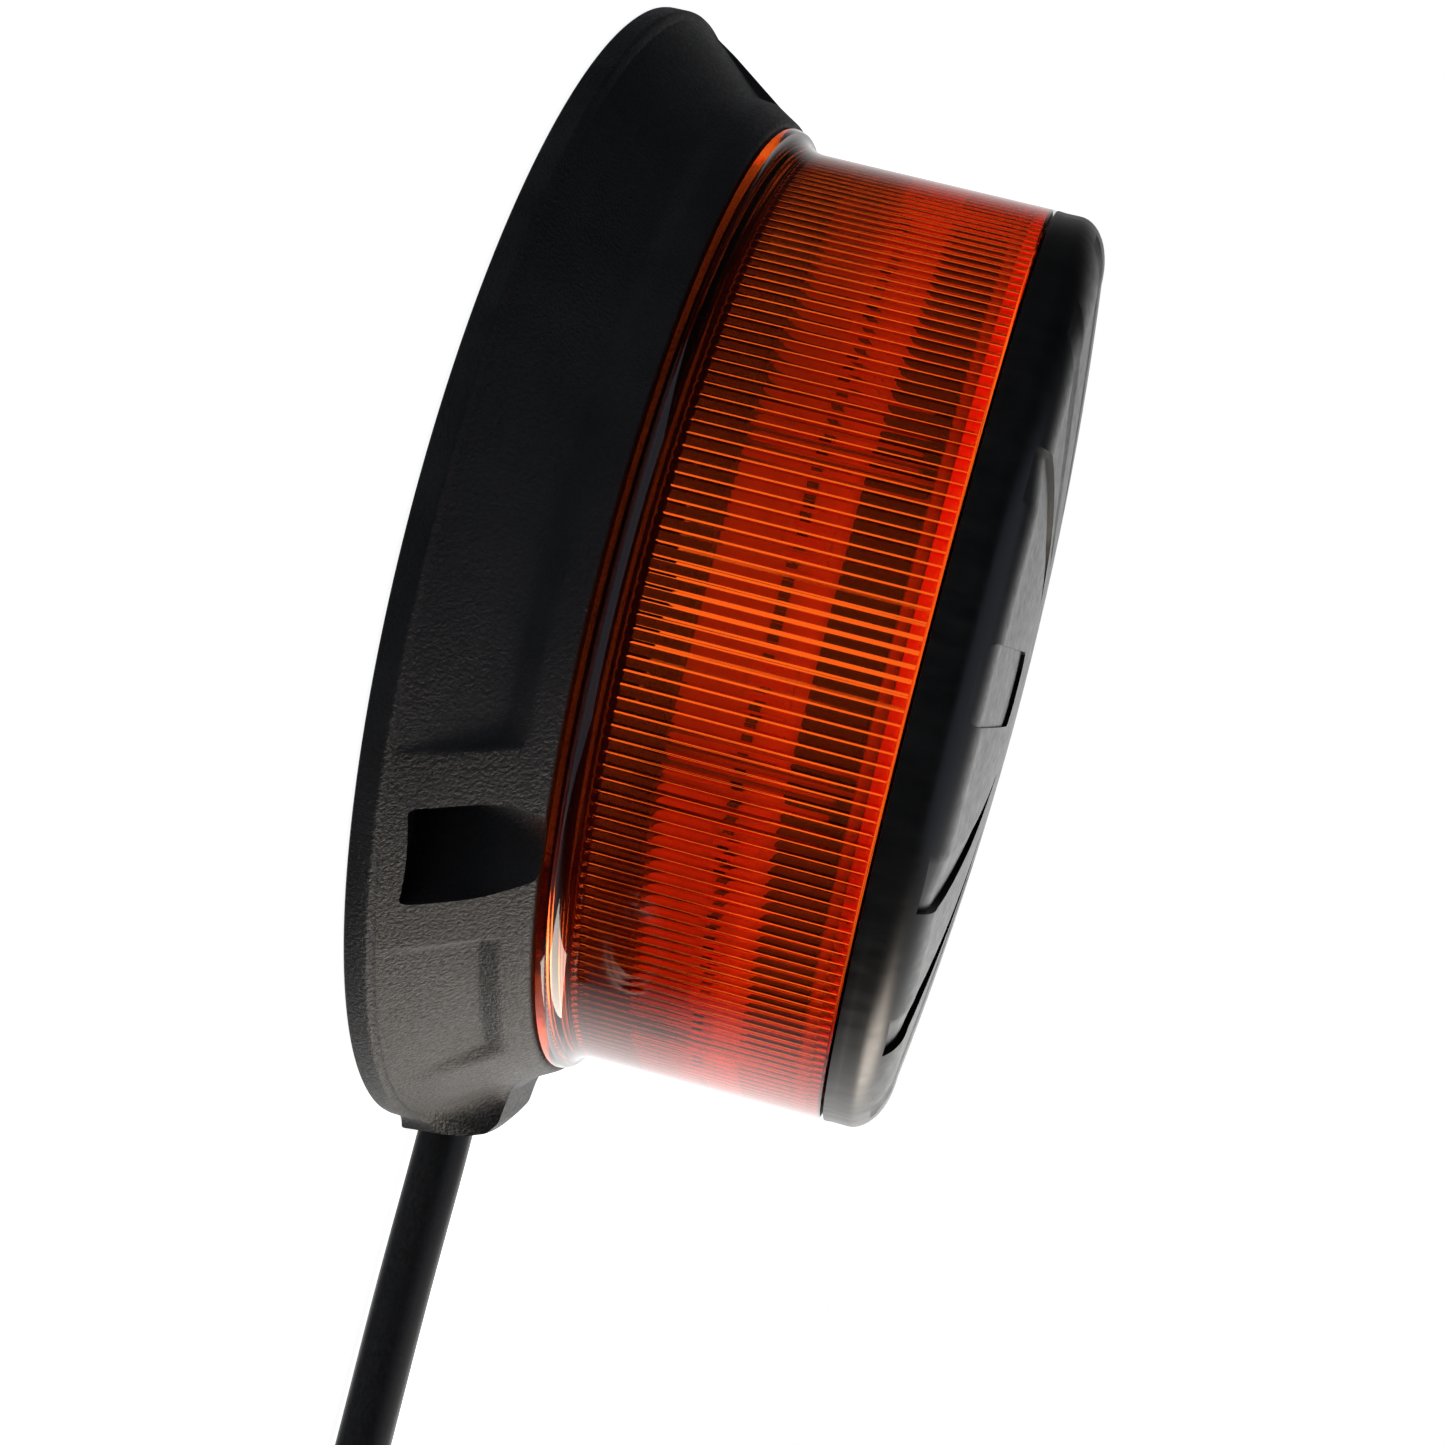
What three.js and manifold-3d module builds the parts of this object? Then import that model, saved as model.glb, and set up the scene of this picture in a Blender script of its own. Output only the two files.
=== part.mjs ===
// LED warning beacon on a three-bolt base: flared base, fluted amber lens, domed cap, side cable.
// Millimetres, +Z up along the lens axis, origin at the centre of the base's underside.
// The cable leaves towards -Y and lies on the surface that the base stands on.
import * as THREE from 'three';
import { mergeVertices } from 'three/addons/utils/BufferGeometryUtils.js';
import Module from 'manifold-3d';

const wasm = await Module();
wasm.setup();

// ---------------------------------------------------------------- driving dimensions
const gap = 0.3;               // clearance between pieces that touch
const over = 1;                // how far a cutter runs past the face it cuts
const round = 56;              // facets on the large turned pieces
const small = 12;              // facets on posts, screws and holes

const lensRadius = 58;         // outside of the lens wall at its foot
const lensDraft = 0.4;         // how far the wall leans in up to the cap joint
const lensWall = 2.5;
const lensHeight = 32.7;       // foot face to cap joint
const lensFootReach = 2.4;     // how far the foot flange stands out of the wall
const lensFillet = 4.4;        // height of the hollow curve above the foot
const lensTongue = 2.2;        // depth of the tongue below the foot face
const lensTongueStep = 0.7;    // tongue set in from the outside of the wall
const lensTopPlate = 1.9;
const locatingRise = 1.8;      // ring on the lens top that centres the cap
const locatingWall = 2.4;

const baseHeight = 17.1;       // underside to the collar's top face
const flangeWidth = 13;        // lens wall to the rim
const rimHeight = 3.3;
const rimBevel = 0.8;
const collarHeight = 2.9;
const collarStep = 2.3;        // height of the step between the flare and the collar
const collarMargin = 0.5;      // collar's top edge outside the lens foot
const collarDraft = 1.7;
const deckThickness = 2.5;
const grooveFloor = 3.5;       // depth of the lens groove
const spigotHeight = 9.4;      // black ring inside the lens, above the collar's top face
const spigotWall = 2.4;
const chamberWall = 3.7;
const skirtWall = 2.5;
const ledgeWidth = 3;          // ledge that the bottom cover rests against
const webCount = 12;           // thin webs under the flange
const webThickness = 1.8;

const boltInset = 6;           // rim to bolt axis
const boltHole = 6.5;          // diameter
const boltCount = 3;
const firstBolt = Math.PI / 2;
const padHalfWidth = 12;       // raised pad around each bolt pocket
const pocketHalfWidth = 5.9;
const pocketOutside = 3.6;     // bolt axis to the pocket's flat outer wall
const pocketFloor = 3;
const pocketWall = 2.2;        // solid left on each side of a pocket, under the flange

const cableRadius = 3.5;
const cableClear = 0.3;        // underside plane to the cable where it leaves
const outletHalfWidth = 9;
const outletDrop = 2.2;        // outlet's top below the collar's foot
const outletCorner = 2.8;      // radius along the outlet's top edge
const outletLean = 0.8;        // how far its face leans in by half height
const outletReach = 1.8;       // how far the outlet stands out of the rim
const outletSweep = THREE.MathUtils.degToRad(27);
const grommetWall = 1.5;
const grommetLength = 9.5;
const grommetInset = 1.2;      // grommet's outer end inside the outlet's face
const grommetFoot = 0.2;       // its flat underside above the base plane
const sheathInside = 8;        // length of sheath inside the rim

const coverThickness = 3;
const coverRecess = 0.5;       // cover's face above the base plane
const screwRadius = 1.25;
const screwHeadRadius = 2.8;
const screwHeadHeight = 1.4;
const screwSocket = 1.2;       // hexagon, axis to corner
const postRadius = 3.4;

const boardThickness = 1.6;
const driverMargin = 9;        // driver board's edge inside the spigot
const driverStandoff = 2;
const carrierStandoff = 7.3;
const carrierThickness = 2.5;
const carrierHole = 30;        // radius
const columnMargin = 14.5;     // heat sink's flats inside the lens wall
const columnWall = 3;
const facets = 8;
const ledBoardSide = 1.5;      // heat sink's corner to the edge of each board
const ledBoardEnds = 1.8;      // the same above and below each board
const ledSize = 5;
const ledHeight = 1.4;
const ledsPerBoard = 2;
const reflectorThickness = 1.5;
const reflectorMargin = 6.5;   // reflector's edge inside the lens wall
const reflectorHole = 20;
const reflectorClear = 0.4;    // reflector to the underside of the lens top

const capSide = 3.2;           // height of the cap's straight side
const capShoulderWidth = 7;
const capShoulderHeight = 4.3;
const capDomeRise = 3.1;
const capWall = 2.3;
const capRoofWall = 3.4;       // roof over the lens's locating ring, at the middle
const barCount = 4;            // bars sunk into the dome, run out over the shoulder
const firstBar = THREE.MathUtils.degToRad(183);
const barWidth = 7.6;
const barDepth = 0.6;
const barInnerShare = 0.5;     // ends of each bar as shares of the cap's radius
const barOuterShare = 0.97;

// ---------------------------------------------------------------- levels and radii worked out from them
const baseRadius = lensRadius + flangeWidth;
const rimTopRadius = baseRadius - rimBevel;
const footRadius = lensRadius + lensFootReach;
const lensTopRadius = lensRadius - lensDraft;
const capBoreRadius = lensTopRadius - capWall;
const collarTopRadius = footRadius + collarMargin;
const collarFootRadius = collarTopRadius + collarDraft;
const collarFoot = baseHeight - collarHeight;
const flareTopRadius = collarFootRadius + gap;
const flareTop = collarFoot - collarStep;
const lensInside = lensRadius - lensWall;
const tongueOutside = lensRadius - lensTongueStep;
const spigotOutside = lensInside - 1.1;
const spigotInside = spigotOutside - spigotWall;
const grooveOutside = tongueOutside + gap;
const deckTop = baseHeight - grooveFloor - 0.6;
const deckUnder = deckTop - deckThickness;
const boltCircle = baseRadius - boltInset;
const pocketInner = boltCircle - 0.4 - (pocketHalfWidth - 0.6);
const chamberRadius = pocketInner - chamberWall;
const coverTop = coverRecess + coverThickness;
const lensFoot = baseHeight + gap;
const capJoint = lensFoot + lensHeight;
const cableLevel = cableRadius + cableClear;
const outletFace = -(baseRadius + outletReach);
const outletHeight = collarFoot - outletDrop;
const lensUnderside = capJoint - lensTopPlate;
const carrierTop = deckTop + carrierStandoff + gap + carrierThickness;
const driverTop = deckTop + driverStandoff + gap + boardThickness;
const columnFoot = carrierTop + gap;
const columnTop = lensUnderside - reflectorClear - reflectorThickness - gap;
const columnFlat = lensInside - columnMargin;
const ledBoardWidth = 2 * (columnFlat * Math.tan(Math.PI / facets) - ledBoardSide);
const ledBoardHeight = columnTop - columnFoot - 2 * ledBoardEnds;
const reflectorRadius = lensInside - reflectorMargin;
const driverRadius = spigotInside - driverMargin;

// ---------------------------------------------------------------- solids
function toSolid(geometry) {
  const bare = geometry.clone();
  bare.deleteAttribute('normal');
  bare.deleteAttribute('uv');
  const merged = mergeVertices(bare, 1e-4);
  const vertProperties = new Float32Array(merged.attributes.position.array);
  const triangles = [];
  let volume = 0;
  const corner = [0, 1, 2].map(() => new THREE.Vector3());
  for (let i = 0; i < merged.index.count; i += 3) {
    const abc = [0, 1, 2].map((k) => merged.index.getX(i + k));
    if (new Set(abc).size < 3) continue;
    abc.forEach((v, k) => corner[k].fromBufferAttribute(merged.attributes.position, v));
    volume += corner[0].dot(corner[1].clone().cross(corner[2]));
    triangles.push(abc);
  }
  const order = volume < 0 ? [0, 2, 1] : [0, 1, 2];
  const triVerts = new Uint32Array(triangles.flatMap((abc) => order.map((k) => abc[k])));
  return new wasm.Manifold(new wasm.Mesh({ numProp: 3, vertProperties, triVerts }));
}

function fromSolid(solid) {
  const { vertProperties, triVerts } = solid.getMesh();
  const geometry = new THREE.BufferGeometry();
  geometry.setAttribute('position', new THREE.BufferAttribute(new Float32Array(vertProperties), 3));
  geometry.setIndex(new THREE.BufferAttribute(new Uint32Array(triVerts), 1));
  geometry.computeVertexNormals();
  return geometry;
}

// A turned solid from [radius, height] pairs; a profile off the axis is closed on itself.
function turned(profile, segments = round) {
  const points = profile.map(([r, z]) => new THREE.Vector2(r, z));
  if (profile[0][0] > 0) points.push(points[0].clone());
  return toSolid(new THREE.LatheGeometry(points, segments).rotateX(Math.PI / 2));
}

const ring = (inner, outer, low, high, segments = round) =>
  turned([[inner, low], [outer, low], [outer, high], [inner, high]], segments);

const disc = (radius, low, high, segments = round) =>
  turned([[0, low], [radius, low], [radius, high], [0, high]], segments);

function peg(x, y, radius, low, high, segments = small) {
  const geometry = new THREE.CylinderGeometry(radius, radius, high - low, segments);
  return toSolid(geometry.rotateX(Math.PI / 2).translate(x, y, (low + high) / 2));
}

function block([x0, x1], [y0, y1], [z0, z1]) {
  const geometry = new THREE.BoxGeometry(x1 - x0, y1 - y0, z1 - z0);
  return toSolid(geometry.translate((x0 + x1) / 2, (y0 + y1) / 2, (z0 + z1) / 2));
}

// A flat outline in X and Y raised from one level to another.
function raised(outline, low, high) {
  const shape = new THREE.Shape(outline.map(([x, y]) => new THREE.Vector2(x, y)));
  const geometry = new THREE.ExtrudeGeometry(shape, { depth: high - low, bevelEnabled: false });
  return toSolid(geometry.translate(0, 0, low));
}

const arc = (cx, cy, radius, from, to, steps) => Array.from({ length: steps + 1 }, (_, i) => {
  const angle = from + (to - from) * i / steps;
  return [cx + radius * Math.cos(angle), cy + radius * Math.sin(angle)];
});

const turn = (solid, angle) => solid.rotate([0, 0, THREE.MathUtils.radToDeg(angle)]);

const around = (count, start = 0) =>
  Array.from({ length: count }, (_, i) => start + i * 2 * Math.PI / count);

// A round lead along a list of points.
function lead(points, radius, steps, sides) {
  const section = new THREE.Shape(arc(0, 0, radius, 0, 2 * Math.PI, sides).slice(0, sides)
    .map(([x, y]) => new THREE.Vector2(x, y)));
  const extrudePath = new THREE.CatmullRomCurve3(points.map((p) => new THREE.Vector3(...p)));
  return toSolid(new THREE.ExtrudeGeometry(section, { steps, extrudePath, bevelEnabled: false }));
}

// ---------------------------------------------------------------- materials
const finish = (color, roughness, metalness = 0, extra = {}) => () =>
  new THREE.MeshStandardMaterial({ color, roughness, metalness, ...extra });

const texturedBlack = finish('#26282a', 0.75);
const glossBlack = finish('#0c0d0f', 0.25);
const matteBlack = finish('#16171a', 0.6);
const amber = finish('#d8420e', 0.15, 0, { transparent: true, opacity: 0.55 });
const rubber = finish('#17181a', 0.85);
const redRubber = finish('#8a3420', 0.7);
const sheath = finish('#141517', 0.55);
const aluminium = finish('#a9acb0', 0.4, 1);
const whiteBoard = finish('#e9e9e4', 0.45);
const greenBoard = finish('#1f5a38', 0.45);
const ledYellow = finish('#e8c24a', 0.3);
const steel = finish('#b8babd', 0.35, 1);
const reflective = finish('#dcdcd8', 0.2, 0.8);
const tie = finish('#1b1c1e', 0.5);
const coreColours = { red: '#b3201c', black: '#1a1a1c', yellow: '#d9b521' };

const beacon = new THREE.Group();

function piece(name, solid, material) {
  const mesh = new THREE.Mesh(fromSolid(solid), material());
  mesh.name = name;
  beacon.add(mesh);
}

// ---------------------------------------------------------------- base housing
const padProfile = [
  [0, 0], [baseRadius, 0], [baseRadius, rimHeight - rimBevel], [rimTopRadius, rimHeight],
  [collarFootRadius, collarFoot], [0, collarFoot],
];

function pocketOutline() {
  const centre = pocketHalfWidth - 0.6 + pocketInner;
  const outer = boltCircle + pocketOutside;
  const bend = arc(centre, 0, pocketHalfWidth, Math.PI / 2, 3 * Math.PI / 2, 8);
  return [...bend, [outer, -pocketHalfWidth], [outer, pocketHalfWidth]];
}

function sector(halfAngle, reach) {
  return [[0, 0], ...arc(0, 0, reach, -halfAngle, halfAngle, 6)];
}

function outletBlock() {
  const face = -outletFace;
  const root = chamberRadius + chamberWall / 2;
  const cornerMiddle = face - 2 * outletLean - outletCorner;
  const profile = [
    [root, 0], [face, 0], [face - outletLean, outletHeight / 2],
    ...arc(cornerMiddle, outletHeight - outletCorner, outletCorner, 0.1, Math.PI / 2, 4),
    [root, outletHeight],
  ];
  const geometry = new THREE.ExtrudeGeometry(
    new THREE.Shape(profile.map(([y, z]) => new THREE.Vector2(y, z))),
    { depth: 2 * outletHalfWidth, bevelEnabled: false },
  );
  // profile X runs outwards (-Y), profile Y runs up (+Z)
  geometry.translate(0, 0, -outletHalfWidth).rotateX(Math.PI / 2).rotateZ(-Math.PI / 2);
  return toSolid(geometry);
}

function cableChannel() {
  const half = cableRadius + grommetWall + 2 * gap;
  const outline = [[half, -over], ...arc(0, cableLevel, half, 0, Math.PI, 10), [-half, -over]];
  const shape = new THREE.Shape(outline.map(([x, z]) => new THREE.Vector2(x, z)));
  const start = chamberRadius + chamberWall + over;
  const length = over - outletFace - start;
  const geometry = new THREE.ExtrudeGeometry(shape, { depth: length, bevelEnabled: false });
  return toSolid(geometry.rotateX(Math.PI / 2).translate(0, -start, 0));
}

const coreHoleLevel = (coverTop + deckUnder) / 2 - 0.6;
const coreHoleRadius = 3.9;
function coreHole() {
  const from = chamberRadius - 4;
  const to = chamberRadius + chamberWall + 3;
  const geometry = new THREE.CylinderGeometry(coreHoleRadius, coreHoleRadius, to - from, small);
  return toSolid(geometry.translate(0, -(from + to) / 2, coreHoleLevel));
}

// Hollows under the flange, kept clear of the bolt pads, the outlet and twelve thin webs.
function flangeHollow() {
  const inner = chamberRadius + skirtWall + 0.5;
  const pocketBlock = pocketHalfWidth + pocketWall;
  const hollow = turned([
    [inner, -over], [baseRadius - skirtWall, -over], [baseRadius - skirtWall, rimHeight - 1.8],
    [flareTopRadius - skirtWall, flareTop - skirtWall], [inner, flareTop - skirtWall],
  ]);
  const web = block([inner - over, baseRadius], [-webThickness / 2, webThickness / 2], [-2 * over, flareTop]);
  const webs = around(webCount, Math.PI / webCount).map((angle) => turn(web, angle));
  const pocketPad = block([inner - over, baseRadius], [-pocketBlock, pocketBlock], [-2 * over, flareTop]);
  const pads = around(boltCount, firstBolt).map((angle) => turn(pocketPad, angle));
  const outlet = block(
    [-outletHalfWidth - over, outletHalfWidth + over], [-baseRadius - 2 * over, over - inner],
    [-2 * over, flareTop],
  );
  return [...webs, ...pads, outlet].reduce((solid, kept) => solid.subtract(kept), hollow);
}

const coverPostCircle = chamberRadius - 6;
const coverScrewAngles = around(4, Math.PI / 4);
const carrierPostCircle = spigotInside - 4.5;
const driverPostCircle = driverRadius - 9;
const driverScrewAngles = around(3, Math.PI / 2);
const wireHoleAt = -30;
const wireHole = [[-4.6, 4.6], [wireHoleAt - 3.5, wireHoleAt + 3.5]];
const pilot = screwRadius + gap;

const onCircle = (radius, angle) => [radius * Math.cos(angle), radius * Math.sin(angle)];

function baseHousing() {
  let solid = turned([
    [0, 0], [baseRadius, 0], [baseRadius, rimHeight - rimBevel], [rimTopRadius, rimHeight],
    [flareTopRadius, flareTop], [collarFootRadius, collarFoot],
    [collarTopRadius, baseHeight], [0, baseHeight],
  ]);
  const pad = turned(padProfile);
  const strip = block([0, baseRadius + over], [-padHalfWidth, padHalfWidth], [-over, baseHeight]);
  for (const angle of around(boltCount, firstBolt)) {
    solid = solid.add(pad.intersect(turn(strip, angle)));
  }
  const outletRamp = raised(sector(outletSweep, 2 * baseRadius), -over, baseHeight);
  solid = solid.add(pad.intersect(turn(outletRamp, -Math.PI / 2)));
  solid = solid.add(outletBlock());
  solid = solid.add(ring(spigotInside, spigotOutside, deckTop - over, baseHeight + spigotHeight));
  solid = solid.subtract(disc(spigotInside, deckTop, baseHeight + over));
  solid = solid.subtract(ring(spigotOutside, grooveOutside, baseHeight - grooveFloor, baseHeight + over));
  solid = solid.subtract(disc(chamberRadius, -over, deckUnder));
  solid = solid.add(ring(chamberRadius - ledgeWidth, chamberRadius + over, coverTop + gap, deckUnder + over));
  solid = solid.subtract(flangeHollow());
  for (const angle of coverScrewAngles) {
    const [x, y] = onCircle(coverPostCircle, angle);
    solid = solid.add(peg(x, y, postRadius, coverTop + gap, deckUnder + over / 2));
    solid = solid.subtract(peg(x, y, pilot, coverTop - over, deckUnder - 2 * gap));
  }
  for (const angle of coverScrewAngles) {
    const [x, y] = onCircle(carrierPostCircle, angle);
    solid = solid.add(peg(x, y, postRadius - 0.4, deckTop - over / 2, deckTop + carrierStandoff));
    solid = solid.subtract(peg(x, y, pilot, deckTop + over, deckTop + carrierStandoff + over));
  }
  for (const angle of driverScrewAngles) {
    const [x, y] = onCircle(driverPostCircle, angle);
    solid = solid.add(peg(x, y, postRadius, deckTop - over / 2, deckTop + driverStandoff));
    solid = solid.subtract(peg(x, y, pilot, deckUnder + 0.8, deckTop + driverStandoff + over));
  }
  const pocket = raised(pocketOutline(), pocketFloor, baseHeight + 5 * over);
  const bore = peg(boltCircle, 0, boltHole / 2, -over, pocketFloor + over, 2 * small);
  for (const angle of around(boltCount, firstBolt)) {
    solid = solid.subtract(turn(pocket, angle)).subtract(turn(bore, angle));
  }
  solid = solid.subtract(cableChannel()).subtract(coreHole());
  return solid.subtract(block(...wireHole, [deckUnder - over, deckTop + over]));
}
piece('base_housing', baseHousing(), texturedBlack);

// ---------------------------------------------------------------- underside
const ventAt = [26, 12];
const ventRadius = 4;
const ventBore = 1;
function bottomCover() {
  let solid = disc(chamberRadius - gap, coverRecess, coverTop);
  for (const angle of coverScrewAngles) {
    const [x, y] = onCircle(coverPostCircle, angle);
    solid = solid.subtract(peg(x, y, screwRadius + 2 * gap, -over, coverTop + over));
    solid = solid.subtract(peg(x, y, screwHeadRadius + gap, -over, coverRecess + screwHeadHeight + gap));
  }
  return solid.subtract(peg(...ventAt, ventRadius + gap, -over, coverTop + over, 2 * small));
}
piece('bottom_cover', bottomCover(), matteBlack);

function ventPlug() {
  const head = peg(...ventAt, ventRadius, coverRecess, coverTop, 2 * small);
  return head.subtract(peg(...ventAt, ventBore, coverRecess - over, coverRecess + coverThickness / 2, small));
}
piece('breather_vent', ventPlug(), matteBlack);

// A pan-head screw; its head's bearing face is at z = seat and its shank runs to z = tip.
function screw(x, y, seat, tip) {
  const way = Math.sign(seat - tip);
  const head = peg(x, y, screwHeadRadius, ...[seat, seat + way * screwHeadHeight].sort((a, b) => a - b));
  const shank = peg(x, y, screwRadius, ...[tip, seat + way * 0.5].sort((a, b) => a - b));
  const top = seat + way * screwHeadHeight;
  const socket = peg(x, y, screwSocket, top - 0.8, top + 0.8, 6);
  return head.add(shank).subtract(socket);
}

coverScrewAngles.forEach((angle, i) => {
  const [x, y] = onCircle(coverPostCircle, angle);
  piece(`cover_screw_${i + 1}`, screw(x, y, coverRecess + screwHeadHeight, deckUnder - 1), steel);
});

// ---------------------------------------------------------------- cable entry
function grommet() {
  const outer = cableRadius + grommetWall + gap;
  const inner = cableRadius + gap;
  const opening = Math.asin((cableLevel - grommetFoot) / inner);
  const outline = [
    [outer, grommetFoot], ...arc(0, cableLevel, outer, 0, Math.PI, 8), [-outer, grommetFoot],
    ...arc(0, cableLevel, inner, Math.PI + opening, -opening, 14),
  ];
  const shape = new THREE.Shape(outline.map(([x, z]) => new THREE.Vector2(x, z)));
  const geometry = new THREE.ExtrudeGeometry(shape, { depth: grommetLength, bevelEnabled: false });
  return toSolid(geometry.rotateX(Math.PI / 2).translate(0, outletFace + grommetInset + grommetLength, 0));
}
piece('cable_grommet', grommet(), rubber);

const coreOffsets = { red: -2.2, black: 0, yellow: 2.2 };
const coreRadius = 0.75;
const sheathEnd = -(baseRadius - sheathInside);
const terminalFace = -25;
const terminalEntry = 4.5;     // its wire holes above its foot
for (const [name, x] of Object.entries(coreOffsets)) {
  const level = driverTop + gap + terminalEntry;
  piece(`lead_${name}`, lead([
    [x, sheathEnd + gap, cableLevel + 0.6], [x, sheathEnd + 2, cableLevel + 1.2],
    [x, -chamberRadius - 2, coreHoleLevel], [x, wireHoleAt - 20, coreHoleLevel + 0.2],
    [x, wireHoleAt - 7, deckUnder - 3.3],
    [x, wireHoleAt - 1.5, deckUnder - 1.1], [x, wireHoleAt, deckTop], [x, wireHoleAt, driverTop + 0.6],
    [x, wireHoleAt + 0.8, level - 1], [x, terminalFace - 1.5 - gap, level], [x, terminalFace - gap, level],
  ], coreRadius, 18, 6), finish(coreColours[name], 0.45));
}

// ---------------------------------------------------------------- driver board and its components
function driverBoard() {
  let solid = disc(driverRadius, driverTop - boardThickness, driverTop);
  for (const angle of driverScrewAngles) {
    const [x, y] = onCircle(driverPostCircle, angle);
    solid = solid.subtract(peg(x, y, screwRadius + 2 * gap, deckTop, driverTop + over));
  }
  return solid.subtract(block(...wireHole, [deckTop, driverTop + over]));
}
piece('driver_board', driverBoard(), greenBoard);

driverScrewAngles.forEach((angle, i) => {
  const [x, y] = onCircle(driverPostCircle, angle);
  piece(`board_screw_${i + 1}`, screw(x, y, driverTop + gap, deckUnder + 1.2), steel);
});

const partFoot = driverTop + gap;
const terminal = { halfWidth: 5.5, depth: 8, height: 8.5, screwHole: 0.8, screwDepth: 1.5 };
function terminalBlock() {
  const top = partFoot + terminal.height;
  let solid = block(
    [-terminal.halfWidth, terminal.halfWidth], [terminalFace, terminalFace + terminal.depth], [partFoot, top],
  );
  for (const x of Object.values(coreOffsets)) {
    const y = terminalFace + terminal.depth / 2;
    solid = solid.subtract(peg(x, y, terminal.screwHole, top - terminal.screwDepth, top + over));
  }
  return solid;
}
piece('terminal_block', terminalBlock(), finish('#2f6b45', 0.5));

const coil = { at: [14, 8], radius: 6.5, height: 7, bore: 2.2, boreDepth: 3 };
function inductor() {
  const top = partFoot + coil.height;
  const body = peg(...coil.at, coil.radius, partFoot, top, 2 * small);
  return body.subtract(peg(...coil.at, coil.bore, top - coil.boreDepth, top + over));
}
piece('inductor', inductor(), finish('#3a3a3c', 0.7));

const can = { at: [-13, 6], radius: 5, height: 12, slotHalf: [2, 0.2], slotDepth: 0.3 };
function capacitor() {
  const top = partFoot + can.height;
  const [x, y] = can.at;
  const [long, wide] = can.slotHalf;
  const slot = block([x - long, x + long], [y - wide, y + wide], [top - can.slotDepth, top + over]);
  return peg(x, y, can.radius, partFoot, top, 2 * small).subtract(slot);
}
piece('capacitor', capacitor(), finish('#22304f', 0.35, 0.2));

const chip = { x: [4, 10], y: [-10, -5], height: 1.6, legs: 4, pitch: 1.5, legWidth: 0.5, legReach: 1.2 };
function driverChip() {
  let solid = block(chip.x, chip.y, [partFoot, partFoot + chip.height]);
  const middle = (chip.x[0] + chip.x[1]) / 2;
  for (let i = 0; i < chip.legs; i += 1) {
    const x = middle + (i - (chip.legs - 1) / 2) * chip.pitch;
    solid = solid.add(block(
      [x - chip.legWidth / 2, x + chip.legWidth / 2], [chip.y[0] - chip.legReach, chip.y[1] + chip.legReach],
      [partFoot, partFoot + chip.legWidth],
    ));
  }
  return solid;
}
piece('driver_chip', driverChip(), finish('#1c1c1e', 0.5));

// ---------------------------------------------------------------- LED carrier, heat sink, boards and LEDs
function ledCarrier() {
  const low = carrierTop - carrierThickness;
  let solid = ring(carrierHole, spigotInside - gap, low, carrierTop);
  for (const angle of coverScrewAngles) {
    const [x, y] = onCircle(carrierPostCircle, angle);
    solid = solid.subtract(peg(x, y, screwRadius + 2 * gap, low - over, carrierTop + over));
  }
  return solid;
}
piece('led_carrier', ledCarrier(), matteBlack);

coverScrewAngles.forEach((angle, i) => {
  const [x, y] = onCircle(carrierPostCircle, angle);
  piece(`carrier_screw_${i + 1}`, screw(x, y, carrierTop + gap, deckTop + 1.6), steel);
});

function prism(flat, low, high) {
  const corner = flat / Math.cos(Math.PI / facets);
  return raised(around(facets, Math.PI / facets).map((a) => onCircle(corner, a)), low, high);
}

const heatSink = prism(columnFlat, columnFoot, columnTop)
  .subtract(prism(columnFlat - columnWall, columnFoot - over, columnTop + over));
piece('heat_sink', heatSink, aluminium);

const boardFace = columnFlat + gap + boardThickness;
const boardMiddle = (columnFoot + columnTop) / 2;
const ledPitch = ledBoardWidth / ledsPerBoard;
around(facets).forEach((angle, i) => {
  const board = block(
    [columnFlat + gap, boardFace], [-ledBoardWidth / 2, ledBoardWidth / 2],
    [boardMiddle - ledBoardHeight / 2, boardMiddle + ledBoardHeight / 2],
  );
  piece(`led_board_${i + 1}`, turn(board, angle), whiteBoard);
  for (let j = 0; j < ledsPerBoard; j += 1) {
    const across = (j - (ledsPerBoard - 1) / 2) * ledPitch;
    const body = block(
      [boardFace + gap, boardFace + gap + ledHeight],
      [across - ledSize / 2, across + ledSize / 2],
      [boardMiddle - ledSize / 2, boardMiddle + ledSize / 2],
    );
    piece(`led_${i + 1}_${j + 1}`, turn(body, angle), ledYellow);
  }
});

const reflector = ring(reflectorHole, reflectorRadius, columnTop + gap, columnTop + gap + reflectorThickness);
piece('top_reflector', reflector, reflective);

// ---------------------------------------------------------------- lens and its seal
function lens() {
  const curve = [];
  for (let i = 0; i <= 4; i += 1) {
    const t = (i / 4) * Math.PI / 2;
    const reach = (lensFootReach - 0.4) * (1 - Math.sin(t));
    curve.push([lensRadius + reach, lensFoot + 1 + (lensFillet - 1) * (1 - Math.cos(t))]);
  }
  const locating = capBoreRadius - gap;
  return turned([
    [0, lensUnderside], [lensInside, lensUnderside], [lensInside, lensFoot - lensTongue],
    [tongueOutside, lensFoot - lensTongue], [tongueOutside, lensFoot], [footRadius, lensFoot],
    ...curve, [lensTopRadius, capJoint], [locating, capJoint], [locating, capJoint + locatingRise],
    [locating - locatingWall, capJoint + locatingRise], [locating - locatingWall, capJoint], [0, capJoint],
  ]);
}
piece('lens', lens(), amber);

const seal = ring(
  spigotOutside + 2 * gap, grooveOutside - gap,
  baseHeight - grooveFloor + gap, lensFoot - lensTongue - gap,
);
piece('lens_seal', seal, redRubber);

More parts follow.
